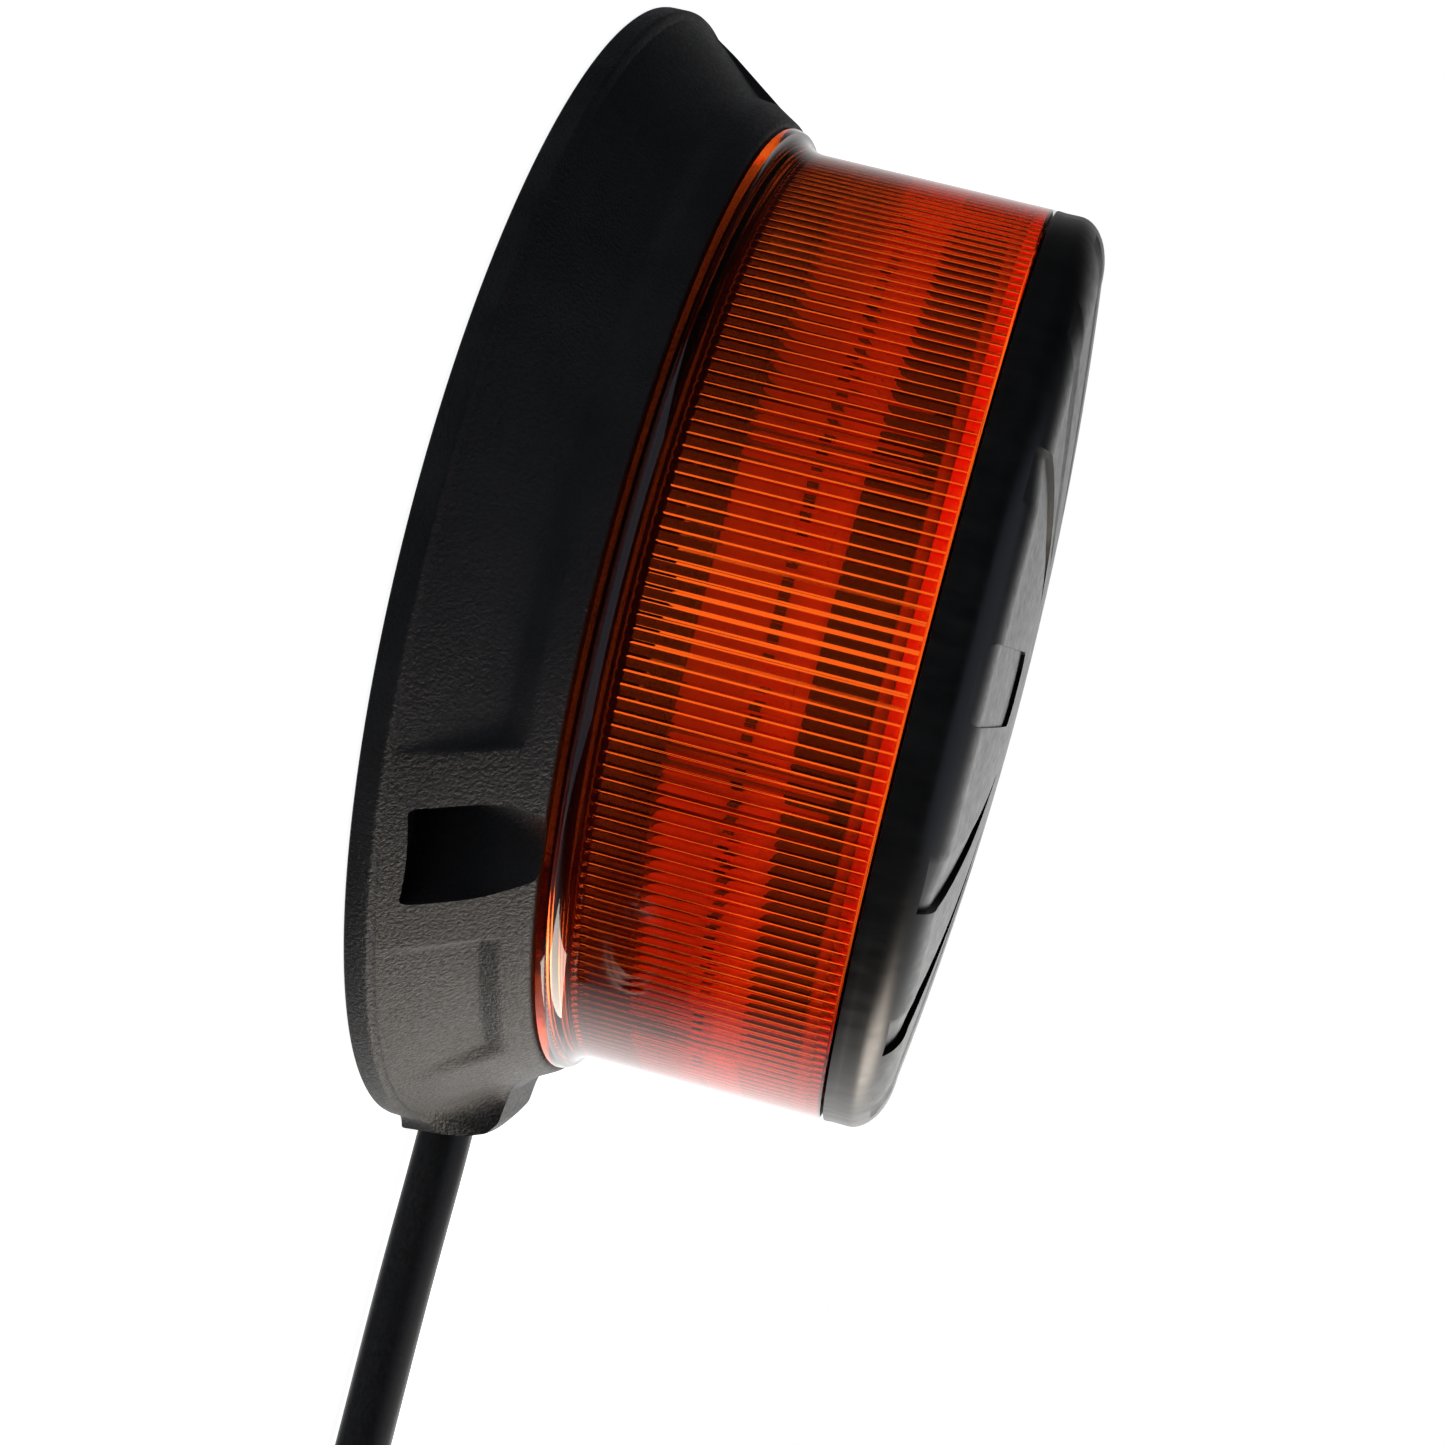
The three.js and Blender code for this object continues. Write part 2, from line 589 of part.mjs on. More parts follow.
// ---------------------------------------------------------------- cap
// The outer face, lifted by rise: straight side, elliptical shoulder, shallow dome.
function capFace(rise) {
  const outer = lensTopRadius - 0.1;
  const shoulderFoot = capJoint + capSide;
  const domeEdge = outer - capShoulderWidth;
  const points = [];
  for (let i = 0; i <= 5; i += 1) {
    const t = (i / 5) * Math.PI / 2;
    const r = domeEdge + capShoulderWidth * Math.cos(t);
    points.push([r, shoulderFoot + capShoulderHeight * Math.sin(t) + rise]);
  }
  for (let i = 1; i <= 4; i += 1) {
    const r = domeEdge * (1 - i / 4);
    const lift = capDomeRise * (1 - (r / domeEdge) ** 2);
    points.push([r, shoulderFoot + capShoulderHeight + lift + rise]);
  }
  return points;
}

function topCap() {
  const low = capJoint + gap;
  const inside = capJoint + locatingRise + gap;
  const body = turned([
    [0, inside + capRoofWall], [capBoreRadius - 6, inside + capRoofWall - 1.4], [capBoreRadius, inside],
    [capBoreRadius, low], [lensTopRadius, low], ...capFace(0),
  ]);
  const top = capJoint + capSide + capShoulderHeight + capDomeRise + over;
  const above = turned([
    ...capFace(-barDepth), [0, top], [lensRadius + over, top], [lensRadius + over, capJoint + capSide],
  ]);
  const half = barWidth / 2;
  const [inner, outer] = [barInnerShare, barOuterShare].map((share) => share * lensTopRadius);
  const outline = [[inner, -half], ...arc(outer - half, 0, half, -Math.PI / 2, Math.PI / 2, 4), [inner, half]];
  const bar = above.intersect(raised(outline, capJoint, top + over));
  return around(barCount, firstBar).reduce((solid, angle) => solid.subtract(turn(bar, angle)), body);
}
piece('top_cap', topCap(), glossBlack);

// ---------------------------------------------------------------- cable: laid out of the outlet, then coiled
const turnPitch = 2 * cableRadius;
const coilMiddle = 40;                        // radius of the middle turns
const coilInner = coilMiddle - turnPitch;
const coilOuter = coilMiddle + turnPitch;
const cableRun = 72.5;                        // outlet face to where the cable joins the coil
// outlet face to the coil's middle
const coilDistance = cableRun + 2 * Math.sqrt(coilOuter * cableRadius) + 1.05;
const coilAt = [-coilOuter, outletFace - coilDistance];
const restLevel = cableRadius + 0.05;         // cable's axis where it lies on the surface
const tieThickness = 0.6;
const tieWidth = 5;
const coilLift = tieThickness + gap;          // the ties pass under the coil
const coilHeight = 2 * turnPitch;

// Points from the sheath's inner end to the coil: [x, distance past the outlet, height off the surface].
const cablePoints = [
  [0, -9.8, 0.25], [0, -6, 0.25], [0, 0, 0.25], [0, 6, 0.25], [0.1, 13, 0.15], [0.3, 20, 0.05],
  [0.6, 28, 0], [0.9, 36, 0], [1.1, 44, 0], [1.1, 52, 0], [0.8, 58, 0.05], [0.3, 66, 0.25],
  [0, cableRun, 0.45],
].map(([x, out, lift]) => [x, outletFace - out, restLevel + lift]);
piece('cable', lead(cablePoints, cableRadius, 16, 10), sheath);

const coilRing = ring(
  coilInner - cableRadius, coilOuter + cableRadius, coilLift, coilLift + coilHeight,
).translate([...coilAt, 0]);
piece('cable_coil', coilRing, sheath);

// The free end comes off the top turn, drops to the floor and hugs the coil's far side.
const tailRadius = coilOuter + turnPitch + 0.8;
const tailArc = [
  [-33, 5.05], [-40, 3.65], [-48, 1.85], [-56, 0.65], [-64, 0.15], [-73, 0], [-85, 0],
  [-97, 0], [-109, 0], [-121, 0], [-133, 0],
];
const tailPoints = tailArc.map(([degrees, lift]) => {
  const [x, y] = onCircle(tailRadius, THREE.MathUtils.degToRad(degrees));
  return [coilAt[0] + x, coilAt[1] + y, restLevel + lift];
});
piece('cable_tail', lead(tailPoints, cableRadius, 9, 10), sheath);

const tailEnd = tailPoints[tailPoints.length - 1];
const tailHeading = THREE.MathUtils.degToRad(tailArc[tailArc.length - 1][0] - 90);
const endCores = {
  red: { start: [1.3, 4.5], reach: [[14, 5, 1.8], [26, 10, 1], [38, 14, 1]] },
  black: { start: [0, 2], reach: [[14, 1, 1.1], [26, 2.5, 1], [38, 5, 1]] },
  yellow: { start: [-1.3, 4.5], reach: [[13, -2.5, 1.8], [25, -4, 1], [36, -4.5, 1]] },
};
const endCoreRadius = 0.9;
function fromTailEnd(ahead, aside, z) {
  const [c, s] = [Math.cos(tailHeading), Math.sin(tailHeading)];
  return [tailEnd[0] + ahead * c - aside * s, tailEnd[1] + ahead * s + aside * c, z];
}
for (const [name, { start: [aside, z], reach }] of Object.entries(endCores)) {
  const ahead = reach.map((p) => fromTailEnd(...p));
  const points = [fromTailEnd(gap, aside, z), fromTailEnd(4, aside, z), ...ahead];
  piece(`core_${name}`, lead(points, endCoreRadius, 8, 8), finish(coreColours[name], 0.45));
}

// A flat tie around the coil's section.
function coilTie(angle) {
  const clear = gap;
  const inner = [coilInner - cableRadius - clear, coilOuter + cableRadius + clear];
  const hole = block(inner, [-tieWidth, tieWidth], [tieThickness, coilLift + coilHeight + clear]);
  const outer = block(
    [inner[0] - tieThickness, inner[1] + tieThickness], [-tieWidth / 2, tieWidth / 2],
    [0, coilLift + coilHeight + clear + tieThickness],
  );
  return turn(outer.subtract(hole), angle).translate([...coilAt, 0]);
}
piece('coil_tie', coilTie(THREE.MathUtils.degToRad(150)), tie);

export default beacon;
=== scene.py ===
"""LED warning beacon: the looks of a three-bolt beacon with a fluted amber lens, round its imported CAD.

Meshes are drawn in millimetres and stored in metres. +Z runs up the lens axis, the origin is the middle
of the base's underside, and the cable leaves towards -Y. Levels and radii repeat those of the CAD source.
"""
import math

import bmesh
import bpy
import numpy as np
from mathutils import Matrix, Vector


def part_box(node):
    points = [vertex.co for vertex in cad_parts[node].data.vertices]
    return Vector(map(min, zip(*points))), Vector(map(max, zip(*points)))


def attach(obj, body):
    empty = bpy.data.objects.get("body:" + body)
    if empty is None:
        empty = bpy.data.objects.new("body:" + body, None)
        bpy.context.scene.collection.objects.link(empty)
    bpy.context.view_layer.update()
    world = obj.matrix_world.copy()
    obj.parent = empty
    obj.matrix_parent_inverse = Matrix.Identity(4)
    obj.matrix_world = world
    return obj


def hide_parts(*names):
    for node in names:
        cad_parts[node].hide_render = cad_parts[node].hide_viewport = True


bl_info = {
    "name": "Warning beacon",
    "version": (1, 0, 0),
    "blender": (4, 5, 0),
    "location": "View3D > Sidebar > Beacon",
    "description": "Builds a bolt-down LED warning beacon with a fluted amber lens and a coiled lead",
    "category": "Object",
}

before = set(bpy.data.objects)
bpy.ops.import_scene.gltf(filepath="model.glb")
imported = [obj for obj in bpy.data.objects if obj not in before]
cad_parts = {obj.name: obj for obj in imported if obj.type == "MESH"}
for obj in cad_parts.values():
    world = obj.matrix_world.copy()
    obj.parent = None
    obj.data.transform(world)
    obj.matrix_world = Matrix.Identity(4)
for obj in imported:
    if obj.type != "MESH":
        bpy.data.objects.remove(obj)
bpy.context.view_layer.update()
BODY = "root"
MM = 0.001
TAU = 2 * math.pi

# ------------------------------------------------------------------ levels and radii, mm
BASE_TOP = 17.1          # collar's top face
RIM_TOP = 3.3
COLLAR_FOOT = 14.2
STEP_FOOT = 11.9         # where the flare meets the step below the collar
PAD_FOOT = 13.77         # the same place on a bolt pad
DECK_UNDER, DECK_TOP = 10.5, 13.0
LENS_FOOT, LENS_TONGUE = 17.4, 15.2
LENS_UNDERSIDE, CAP_JOINT = 48.2, 50.1
SPIGOT_TOP = 26.5
GROOVE_FLOOR = 13.6
SPIGOT_INSIDE, SPIGOT_OUTSIDE = 52.0, 54.4
GROOVE_OUTSIDE = 57.6
CHAMBER, LEDGE = 55.6, 52.6
COVER_CLEAR = 3.8
BOLT_CIRCLE = 65.0
PAD_ANGLES = (90, 210, 330)
OUTLET_ANGLE = 270
OUTLET_FACE = -72.8
CARRIER_TOP, DRIVER_TOP = 23.1, 16.9
BOARD_LOW, BOARD_HIGH = 25.2, 44.2
REFLECTOR_LOW, REFLECTOR_HIGH = 46.3, 47.8
COVER_POSTS, CARRIER_POSTS, DRIVER_POSTS = 49.6, 47.5, 34.0


# ------------------------------------------------------------------ colours and node helper
def linear(hex_colour):
    """An sRGB hex colour as the linear RGBA that shaders take."""
    channels = [int(hex_colour[i:i + 2], 16) / 255 for i in (1, 3, 5)]
    return tuple(c / 12.92 if c <= 0.04045 else ((c + 0.055) / 1.055) ** 2.4 for c in channels) + (1.0,)


def add(tree, kind, inputs=None, **settings):
    """Adds a node to a tree: its settings first, then each input as a value or as a link from a socket."""
    made = tree.nodes.new(kind)
    for name, value in settings.items():
        setattr(made, name, value)
    for key, value in (inputs or {}).items():
        if isinstance(value, bpy.types.NodeSocket):
            tree.links.new(value, made.inputs[key])
        else:
            made.inputs[key].default_value = value
    return made


def grain(tree, size_mm, detail=2.0, roughness=0.5, stretch=(1, 1, 1)):
    """Noise on Object coordinates whose lumps are size_mm across."""
    place = add(tree, "ShaderNodeTexCoord").outputs["Object"]
    if stretch != (1, 1, 1):
        place = add(tree, "ShaderNodeMapping", {"Vector": place, "Scale": stretch}).outputs["Vector"]
    return add(tree, "ShaderNodeTexNoise", {
        "Vector": place, "Scale": 1 / (size_mm * MM), "Detail": detail, "Roughness": roughness,
    }).outputs["Fac"]


def dress(tree, shader, tint=None, rough=None, bump=None):
    """Lets patterns drive a shader's colour, roughness and bump.

    tint is a pattern and two hex colours, rough a pattern and two values, and bump a pattern, its depth in
    millimetres and its strength. A pattern runs from 0.3 to 0.7, or between two more numbers given in tint.
    """
    if tint:
        pattern, first, second, *ends = tint
        start, end = ends or (0.3, 0.7)
        share = add(tree, "ShaderNodeMapRange", {"Value": pattern, "From Min": start, "From Max": end})
        mixed = add(tree, "ShaderNodeMix", {
            "Factor": share.outputs["Result"], "A": linear(first), "B": linear(second)}, data_type="RGBA")
        tree.links.new(mixed.outputs["Result"], shader.inputs["Base Color"])
    if rough:
        pattern, smooth, dull = rough
        level = add(tree, "ShaderNodeMapRange", {
            "Value": pattern, "From Min": 0.3, "From Max": 0.7, "To Min": smooth, "To Max": dull})
        tree.links.new(level.outputs["Result"], shader.inputs["Roughness"])
    if bump:
        height, depth_mm, strength = bump
        face = add(tree, "ShaderNodeBump", {"Height": height, "Distance": depth_mm * MM, "Strength": strength})
        tree.links.new(face.outputs["Normal"], shader.inputs["Normal"])


def finish_of(name, **principled):
    """A new material with a Principled shader; returns the material, its tree and the shader."""
    material = bpy.data.materials.new(name)
    material.use_nodes = True
    tree = material.node_tree
    shader = tree.nodes["Principled BSDF"]
    for socket, value in principled.items():
        shader.inputs[socket.replace("_", " ")].default_value = value
    return material, tree, shader


def mottled(name, tint, rough, bump, lumps, **principled):
    """A material whose tint, roughness and relief follow one noise; lumps holds the noise's settings."""
    material, tree, shader = finish_of(name, **principled)
    pattern = grain(tree, **lumps)
    dress(tree, shader, (pattern, *tint), (pattern, *rough), (pattern, *bump))
    return material


# ------------------------------------------------------------------ materials
def spark_textured_nylon(colours):
    """Glass-filled nylon moulded against spark-eroded steel: dry black whose wormy grain breaks up light."""
    material, tree, shader = finish_of("Spark-textured black nylon", IOR=1.53)
    # real spark grain is 0.15 to 0.3 mm; drawn at 0.42 mm so that it shows
    pits = grain(tree, 0.42, detail=3.0, roughness=0.62)
    patches = grain(tree, 9.0, detail=3.0)
    blacks = (patches, colours.housing, colours.housing_light)
    dress(tree, shader, blacks, (pits, 0.38, 0.62), (pits, 0.24, 1.0))
    return material


def polished_cap_pc(colours):
    """Polycarbonate moulded in a polished tool: near-black, with a soft mirror and faint handling scuffs."""
    material, tree, shader = finish_of("Polished black polycarbonate", IOR=1.585)
    scuffs = grain(tree, 1.6, detail=5.0, roughness=0.7, stretch=(1, 1, 0.25))
    ripple = grain(tree, 7.0, detail=1.0)
    blacks = (scuffs, colours.cap, colours.cap_light, 0.35, 0.8)
    dress(tree, shader, blacks, (scuffs, 0.3, 0.42), (ripple, 0.05, 0.35))
    return material


def amber_polycarbonate(colours):
    """Clear amber polycarbonate: glossy, tints what is behind it and lets the lamps' light inside."""
    material, tree, shader = finish_of("Amber polycarbonate", IOR=1.585, Transmission_Weight=1.0,
                                       Roughness=0.025)
    shader.inputs["Base Color"].default_value = linear(colours.amber)
    dress(tree, shader, bump=(grain(tree, 6.0, detail=1.0), 0.03, 0.25))
    # light on its way to the inside passes straight through, tinted at each face
    through = add(tree, "ShaderNodeBsdfTransparent", {"Color": linear(colours.amber_light)})
    path = add(tree, "ShaderNodeLightPath")
    mix = add(tree, "ShaderNodeMixShader", {0: path.outputs["Is Shadow Ray"]})
    tree.links.new(shader.outputs["BSDF"], mix.inputs[1])
    tree.links.new(through.outputs["BSDF"], mix.inputs[2])
    tree.links.new(mix.outputs["Shader"], tree.nodes["Material Output"].inputs["Surface"])
    return material


def satin_pvc_sheath(colours):
    """Extruded PVC: satin black, with faint drawn lines along its length and a little dust."""
    material, tree, shader = finish_of("Satin black PVC", IOR=1.54)
    uv = add(tree, "ShaderNodeTexCoord").outputs["UV"]
    along = add(tree, "ShaderNodeMapping", {"Vector": uv, "Scale": (60, 40, 1)}).outputs["Vector"]
    drawn = add(tree, "ShaderNodeTexNoise", {"Vector": along, "Scale": 1.0, "Detail": 2.0}).outputs["Fac"]
    dust = grain(tree, 0.5, detail=3.0)
    dress(tree, shader, (dust, colours.cable, "#1D1E21"), (drawn, 0.36, 0.5), (dust, 0.03, 0.4))
    return material


def core_insulation(name, dark, light):
    """Thin PVC core insulation: plain colour with the slight gloss and flow lines of extrusion."""
    return mottled(name, (dark, light), (0.3, 0.45), (0.02, 0.4), {"size_mm": 0.8, "detail": 3.0}, IOR=1.54)


def moulded_rubber(name, dark, light, lump_mm=0.6):
    """Compression-moulded rubber: matt, slightly uneven, with a dusty bloom."""
    bloom = {"size_mm": lump_mm, "detail": 4.0, "roughness": 0.6}
    return mottled(name, (dark, light), (0.7, 0.9), (0.04, 0.5), bloom, IOR=1.52)


def moulded_plastic(name, dark, light, smooth=0.4, dull=0.6, lump_mm=0.7):
    """Plain moulded plastic, such as ABS or nylon: fine tool grain and a low, even sheen."""
    lumps = {"size_mm": lump_mm, "detail": 3.0}
    return mottled(name, (dark, light), (smooth, dull), (0.04, 0.5), lumps, IOR=1.53)


def bare_metal(name, dark, light, smooth, dull, stretch=(1, 1, 1), lump_mm=0.5):
    """A bare metal with the lines or mottling that its drawing, plating or tinning leaves."""
    lines = {"size_mm": lump_mm, "detail": 4.0, "stretch": stretch}
    return mottled(name, (dark, light), (smooth, dull), (0.02, 0.4), lines, Metallic=1.0)


def metallised_reflector():
    """Vacuum-metallised white plastic: bright, slightly hazy and uneven."""
    material, tree, shader = finish_of("Metallised reflector", Metallic=0.35, IOR=1.53)
    haze = grain(tree, 3.0, detail=3.0)
    dress(tree, shader, (haze, "#A5A29A", "#BDBAB2"), (haze, 0.22, 0.38))
    return material


def white_solder_mask():
    """White solder mask over copper: smooth and bright, faintly shaded where tracks lie under it."""
    material, tree, shader = finish_of("White solder mask", IOR=1.5)
    place = add(tree, "ShaderNodeTexCoord").outputs["Object"]
    # tracks lie in 2.5 mm steps up the board; a wave's bands are a twentieth of its scale
    tracks = add(tree, "ShaderNodeTexWave", {
        "Vector": place, "Scale": 1 / (2.5 * MM) / 20, "Distortion": 1.5,
    }, wave_type="BANDS", bands_direction="Z").outputs["Fac"]
    dress(tree, shader, (tracks, "#DDDBD2", "#F2F0EA"), (grain(tree, 1.2), 0.35, 0.5), (tracks, 0.03, 0.4))
    return material


def green_solder_mask():
    """Green solder mask: glossy, darker between the copper areas under it."""
    material, tree, shader = finish_of("Green solder mask", IOR=1.5)
    place = add(tree, "ShaderNodeTexCoord").outputs["Object"]
    # copper areas about 6 mm across
    copper = add(tree, "ShaderNodeTexVoronoi", {"Vector": place, "Scale": 1 / (6 * MM)},
                 distance="CHEBYCHEV").outputs["Distance"]
    greens = (copper, "#12452A", "#2A7048", 0.2, 0.5)
    dress(tree, shader, greens, (grain(tree, 1.5), 0.28, 0.42), (copper, 0.04, 0.3))
    return material


def yellow_phosphor():
    """Silicone filled with yellow phosphor: dense, waxy yellow-orange when unlit."""
    material, tree, shader = finish_of("Yellow phosphor", IOR=1.41, Roughness=0.35)
    dress(tree, shader, (grain(tree, 0.3), "#D9A21E", "#F0C648"))
    return material


def light_table():
    """Opal acrylic lit from below: an even, nearly white floor with only a faint shadow under the object."""
    material, tree, shader = finish_of("Opal acrylic light table", Roughness=0.9, Specular_IOR_Level=0.1,
                                       Emission_Strength=0.94)
    shader.inputs["Emission Color"].default_value = linear("#FFFFFF")
    dress(tree, shader, (grain(tree, 25.0), "#F2F2F0", "#F8F8F6"))
    return material


# ------------------------------------------------------------------ mesh helpers
def made(name, points, faces, material=None, sharp=30):
    """A mesh object from points in millimetres, its edges crisp where faces meet at over sharp degrees."""
    mesh = bpy.data.meshes.new(name)
    mesh.from_pydata((np.asarray(points, float) * MM).tolist(), [], faces)
    tidy(mesh)
    body = bpy.data.objects.new(name, mesh)
    bpy.context.scene.collection.objects.link(body)
    if material is not None:
        mesh.materials.append(material)
    soften(body, sharp)
    return body


def tidy(mesh):
    """Merges doubles and turns all faces outwards."""
    work = bmesh.new()
    work.from_mesh(mesh)
    bmesh.ops.remove_doubles(work, verts=work.verts, dist=1e-7)
    bmesh.ops.dissolve_degenerate(work, dist=1e-8, edges=work.edges)
    bmesh.ops.recalc_face_normals(work, faces=work.faces)
    work.to_mesh(mesh)
    work.free()


def soften(body, sharp=30):
    """Smooth shading with crisp edges where faces meet at more than sharp degrees."""
    body.data.shade_smooth()
    body.data.set_sharp_from_angle(angle=math.radians(sharp))


def skin(points, close_lines=True, close_rows=True):
    """Quads over a grid of points, given as [line][row]."""
    points = np.asarray(points, float)
    lines, rows = points.shape[:2]
    faces = []
    for i in range(lines if close_lines else lines - 1):
        here, ahead = i * rows, (i + 1) % lines * rows
        for a in range(rows if close_rows else rows - 1):
            after = (a + 1) % rows
            faces.append((here + a, ahead + a, ahead + after, here + after))
    return points.reshape(-1, 3), faces


def eased(outline, ease, steps=3, closed=True):
    """Rounds the corners of an outline: each is cut back by up to ease and bent through steps short faces."""
    points, count = [Vector(p) for p in outline], len(outline)
    out = []
    for i, corner in enumerate(points):
        if not closed and i in (0, count - 1):
            out.append(tuple(corner))
            continue
        before, after = points[i - 1], points[(i + 1) % count]
        reach = min(ease, 0.4 * (before - corner).length, 0.4 * (after - corner).length)
        start = corner + (before - corner).normalized() * reach
        end = corner + (after - corner).normalized() * reach
        for k in range(steps + 1):
            t = k / steps
            out.append(tuple((1 - t) ** 2 * start + 2 * t * (1 - t) * corner + t * t * end))
    return out


def turned(name, profile, material=None, segments=192, closed=True, sharp=30):
    """A body turned about the lens axis from (radius, height) pairs; an open profile ends on the axis."""
    angles = np.arange(segments) * TAU / segments
    r, z = np.array(profile, float).T
    x, y = np.outer(np.cos(angles), r), np.outer(np.sin(angles), r)
    grid = np.stack([x, y, np.tile(z, (segments, 1))], axis=-1)
    return made(name, *skin(grid, True, closed), material, sharp)


def prism(outline, low, high):
    """Points and faces of an outline in X and Y raised from one level to another."""
    count = len(outline)
    points = [(x, y, z) for z in (low, high) for x, y in outline]
    walls = [(i, (i + 1) % count, count + (i + 1) % count, count + i) for i in range(count)]
    return points, walls + [tuple(range(count - 1, -1, -1)), tuple(range(count, 2 * count))]


def arc(cx, cy, radius, start, end, steps):
    """Points along an arc, its angles in degrees."""
    angles = [math.radians(start + (end - start) * i / steps) for i in range(steps + 1)]
    return [(cx + radius * math.cos(a), cy + radius * math.sin(a)) for a in angles]


def rotated(points, degrees):
    """Points turned about the lens axis."""
    c, s = math.cos(math.radians(degrees)), math.sin(math.radians(degrees))
    return [(x * c - y * s, x * s + y * c, z) for x, y, z in points]


def gathered(name, parts, material=None, sharp=30):
    """One mesh object from several lists of points and faces."""
    points, faces = [], []
    for part_points, part_faces in parts:
        faces += [tuple(v + len(points) for v in face) for face in part_faces]
        points += [tuple(p) for p in part_points]
    return made(name, points, faces, material, sharp)


def plain(body):
    """Turns an object's modifiers into plain mesh."""
    graph = bpy.context.evaluated_depsgraph_get()
    mesh = bpy.data.meshes.new_from_object(body.evaluated_get(graph), depsgraph=graph)
    body.modifiers.clear()
    old, body.data = body.data, mesh
    bpy.data.meshes.remove(old)
    mesh.name = body.name
    return body


def discard(*bodies):
    """Removes helper objects and their meshes."""
    for body in bodies:
        mesh = body.data
        bpy.data.objects.remove(body)
        bpy.data.meshes.remove(mesh)


def combine(body, tool, operation, sharp=30):
    """Adds a tool body to a piece or cuts it away."""
    step = body.modifiers.new(operation.title(), "BOOLEAN")
    step.operation, step.object, step.solver, step.use_self = operation, tool, "EXACT", True
    plain(body)
    discard(tool)
    soften(body, sharp)
    return body


def tube(name, path, radius, material, sides=20):
    """A round tube along points in millimetres with closed ends and a UV map whose V runs along it."""
    path = np.asarray(path, float)
    ahead = np.gradient(path, axis=0)
    ahead /= np.linalg.norm(ahead, axis=1)[:, None]
    side = np.cross(ahead[0], (0, 0, 1))
    side /= np.linalg.norm(side)
    lines = []
    for at, way in zip(path, ahead):
        side = side - way * side.dot(way)
        side /= np.linalg.norm(side)
        up = np.cross(side, way)
        lines.append([at + radius * (math.cos(a) * side + math.sin(a) * up)
                      for a in np.arange(sides) * TAU / sides])
    points, faces = skin(lines, False, True)
    last = (len(path) - 1) * sides
    faces += [tuple(range(sides)), tuple(range(last + sides - 1, last - 1, -1))]
    body = made(name, points, faces, material, 40)
    length = np.concatenate([[0], np.cumsum(np.linalg.norm(np.diff(path, axis=0), axis=1))]) * MM
    layer = body.data.uv_layers.new(name="Along")
    for face in body.data.polygons:
        columns = [v % sides for v in face.vertices]
        wraps = len(columns) == 4 and max(columns) - min(columns) > 1
        for loop, v, column in zip(face.loop_indices, face.vertices, columns):
            u = (column + sides if wraps and column == 0 else column) / sides
            layer.data[loop].uv = (u * TAU * radius * MM, length[v // sides])
    return body


def smooth_path(points, step):
    """A Catmull-Rom curve through points, read off about every step millimetres."""
    p = np.asarray(points, float)
    p = np.vstack([2 * p[0] - p[1], p, 2 * p[-1] - p[-2]])
    out = []
    for i in range(1, len(p) - 2):
        count = max(2, round(np.linalg.norm(p[i + 1] - p[i]) / step))
        for t in np.arange(count) / count:
            out.append(0.5 * (2 * p[i] + (p[i + 1] - p[i - 1]) * t
                              + (2 * p[i - 1] - 5 * p[i] + 4 * p[i + 1] - p[i + 2]) * t ** 2
                              + (3 * p[i] - p[i - 1] - 3 * p[i + 1] + p[i + 2]) * t ** 3))
    return np.array(out + [p[-2]])


def place(body, slot, *nodes):
    """Puts a finished piece on the frame and hides the CAD nodes that it stands for; slot is not used."""
    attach(body, BODY)
    if nodes:
        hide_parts(*nodes)
    return body


# ------------------------------------------------------------------ geometry-node trees
def new_tree(name, sockets):
    """An empty geometry tree with a Geometry output and the named inputs."""
    tree = bpy.data.node_groups.new(name, "GeometryNodeTree")
    tree.interface.new_socket("Geometry", in_out="OUTPUT", socket_type="NodeSocketGeometry")
    for label, kind in sockets:
        tree.interface.new_socket(label, in_out="INPUT", socket_type="NodeSocket" + kind)
    return tree, add(tree, "NodeGroupInput").outputs


def ring_of_copies():
    """Copies a pattern object round the lens axis: Copies of them, the first at First Angle."""
    tree, given = new_tree("Ring of copies", [
        ("Pattern", "Object"), ("Copies", "Int"), ("First Angle", "Float"), ("Material", "Material")])
    step = add(tree, "ShaderNodeMath", {0: TAU, 1: given["Copies"]}, operation="DIVIDE")
    angle = add(tree, "ShaderNodeMath", {
        0: add(tree, "GeometryNodeInputIndex").outputs[0], 1: step.outputs[0], 2: given["First Angle"],
    }, operation="MULTIPLY_ADD")
    turn = add(tree, "FunctionNodeAxisAngleToRotation", {"Axis": (0, 0, 1), "Angle": angle.outputs[0]})
    copies = add(tree, "GeometryNodeInstanceOnPoints", {
        "Points": add(tree, "GeometryNodePoints", {"Count": given["Copies"]}).outputs[0],
        "Instance": add(tree, "GeometryNodeObjectInfo", {"Object": given["Pattern"]}).outputs["Geometry"],
        "Rotation": turn.outputs[0],
    })
    solid = add(tree, "GeometryNodeRealizeInstances", {0: copies.outputs[0]})
    coated = add(tree, "GeometryNodeSetMaterial", {0: solid.outputs[0], "Material": given["Material"]})
    add(tree, "NodeGroupOutput", {0: coated.outputs[0]})
    return tree


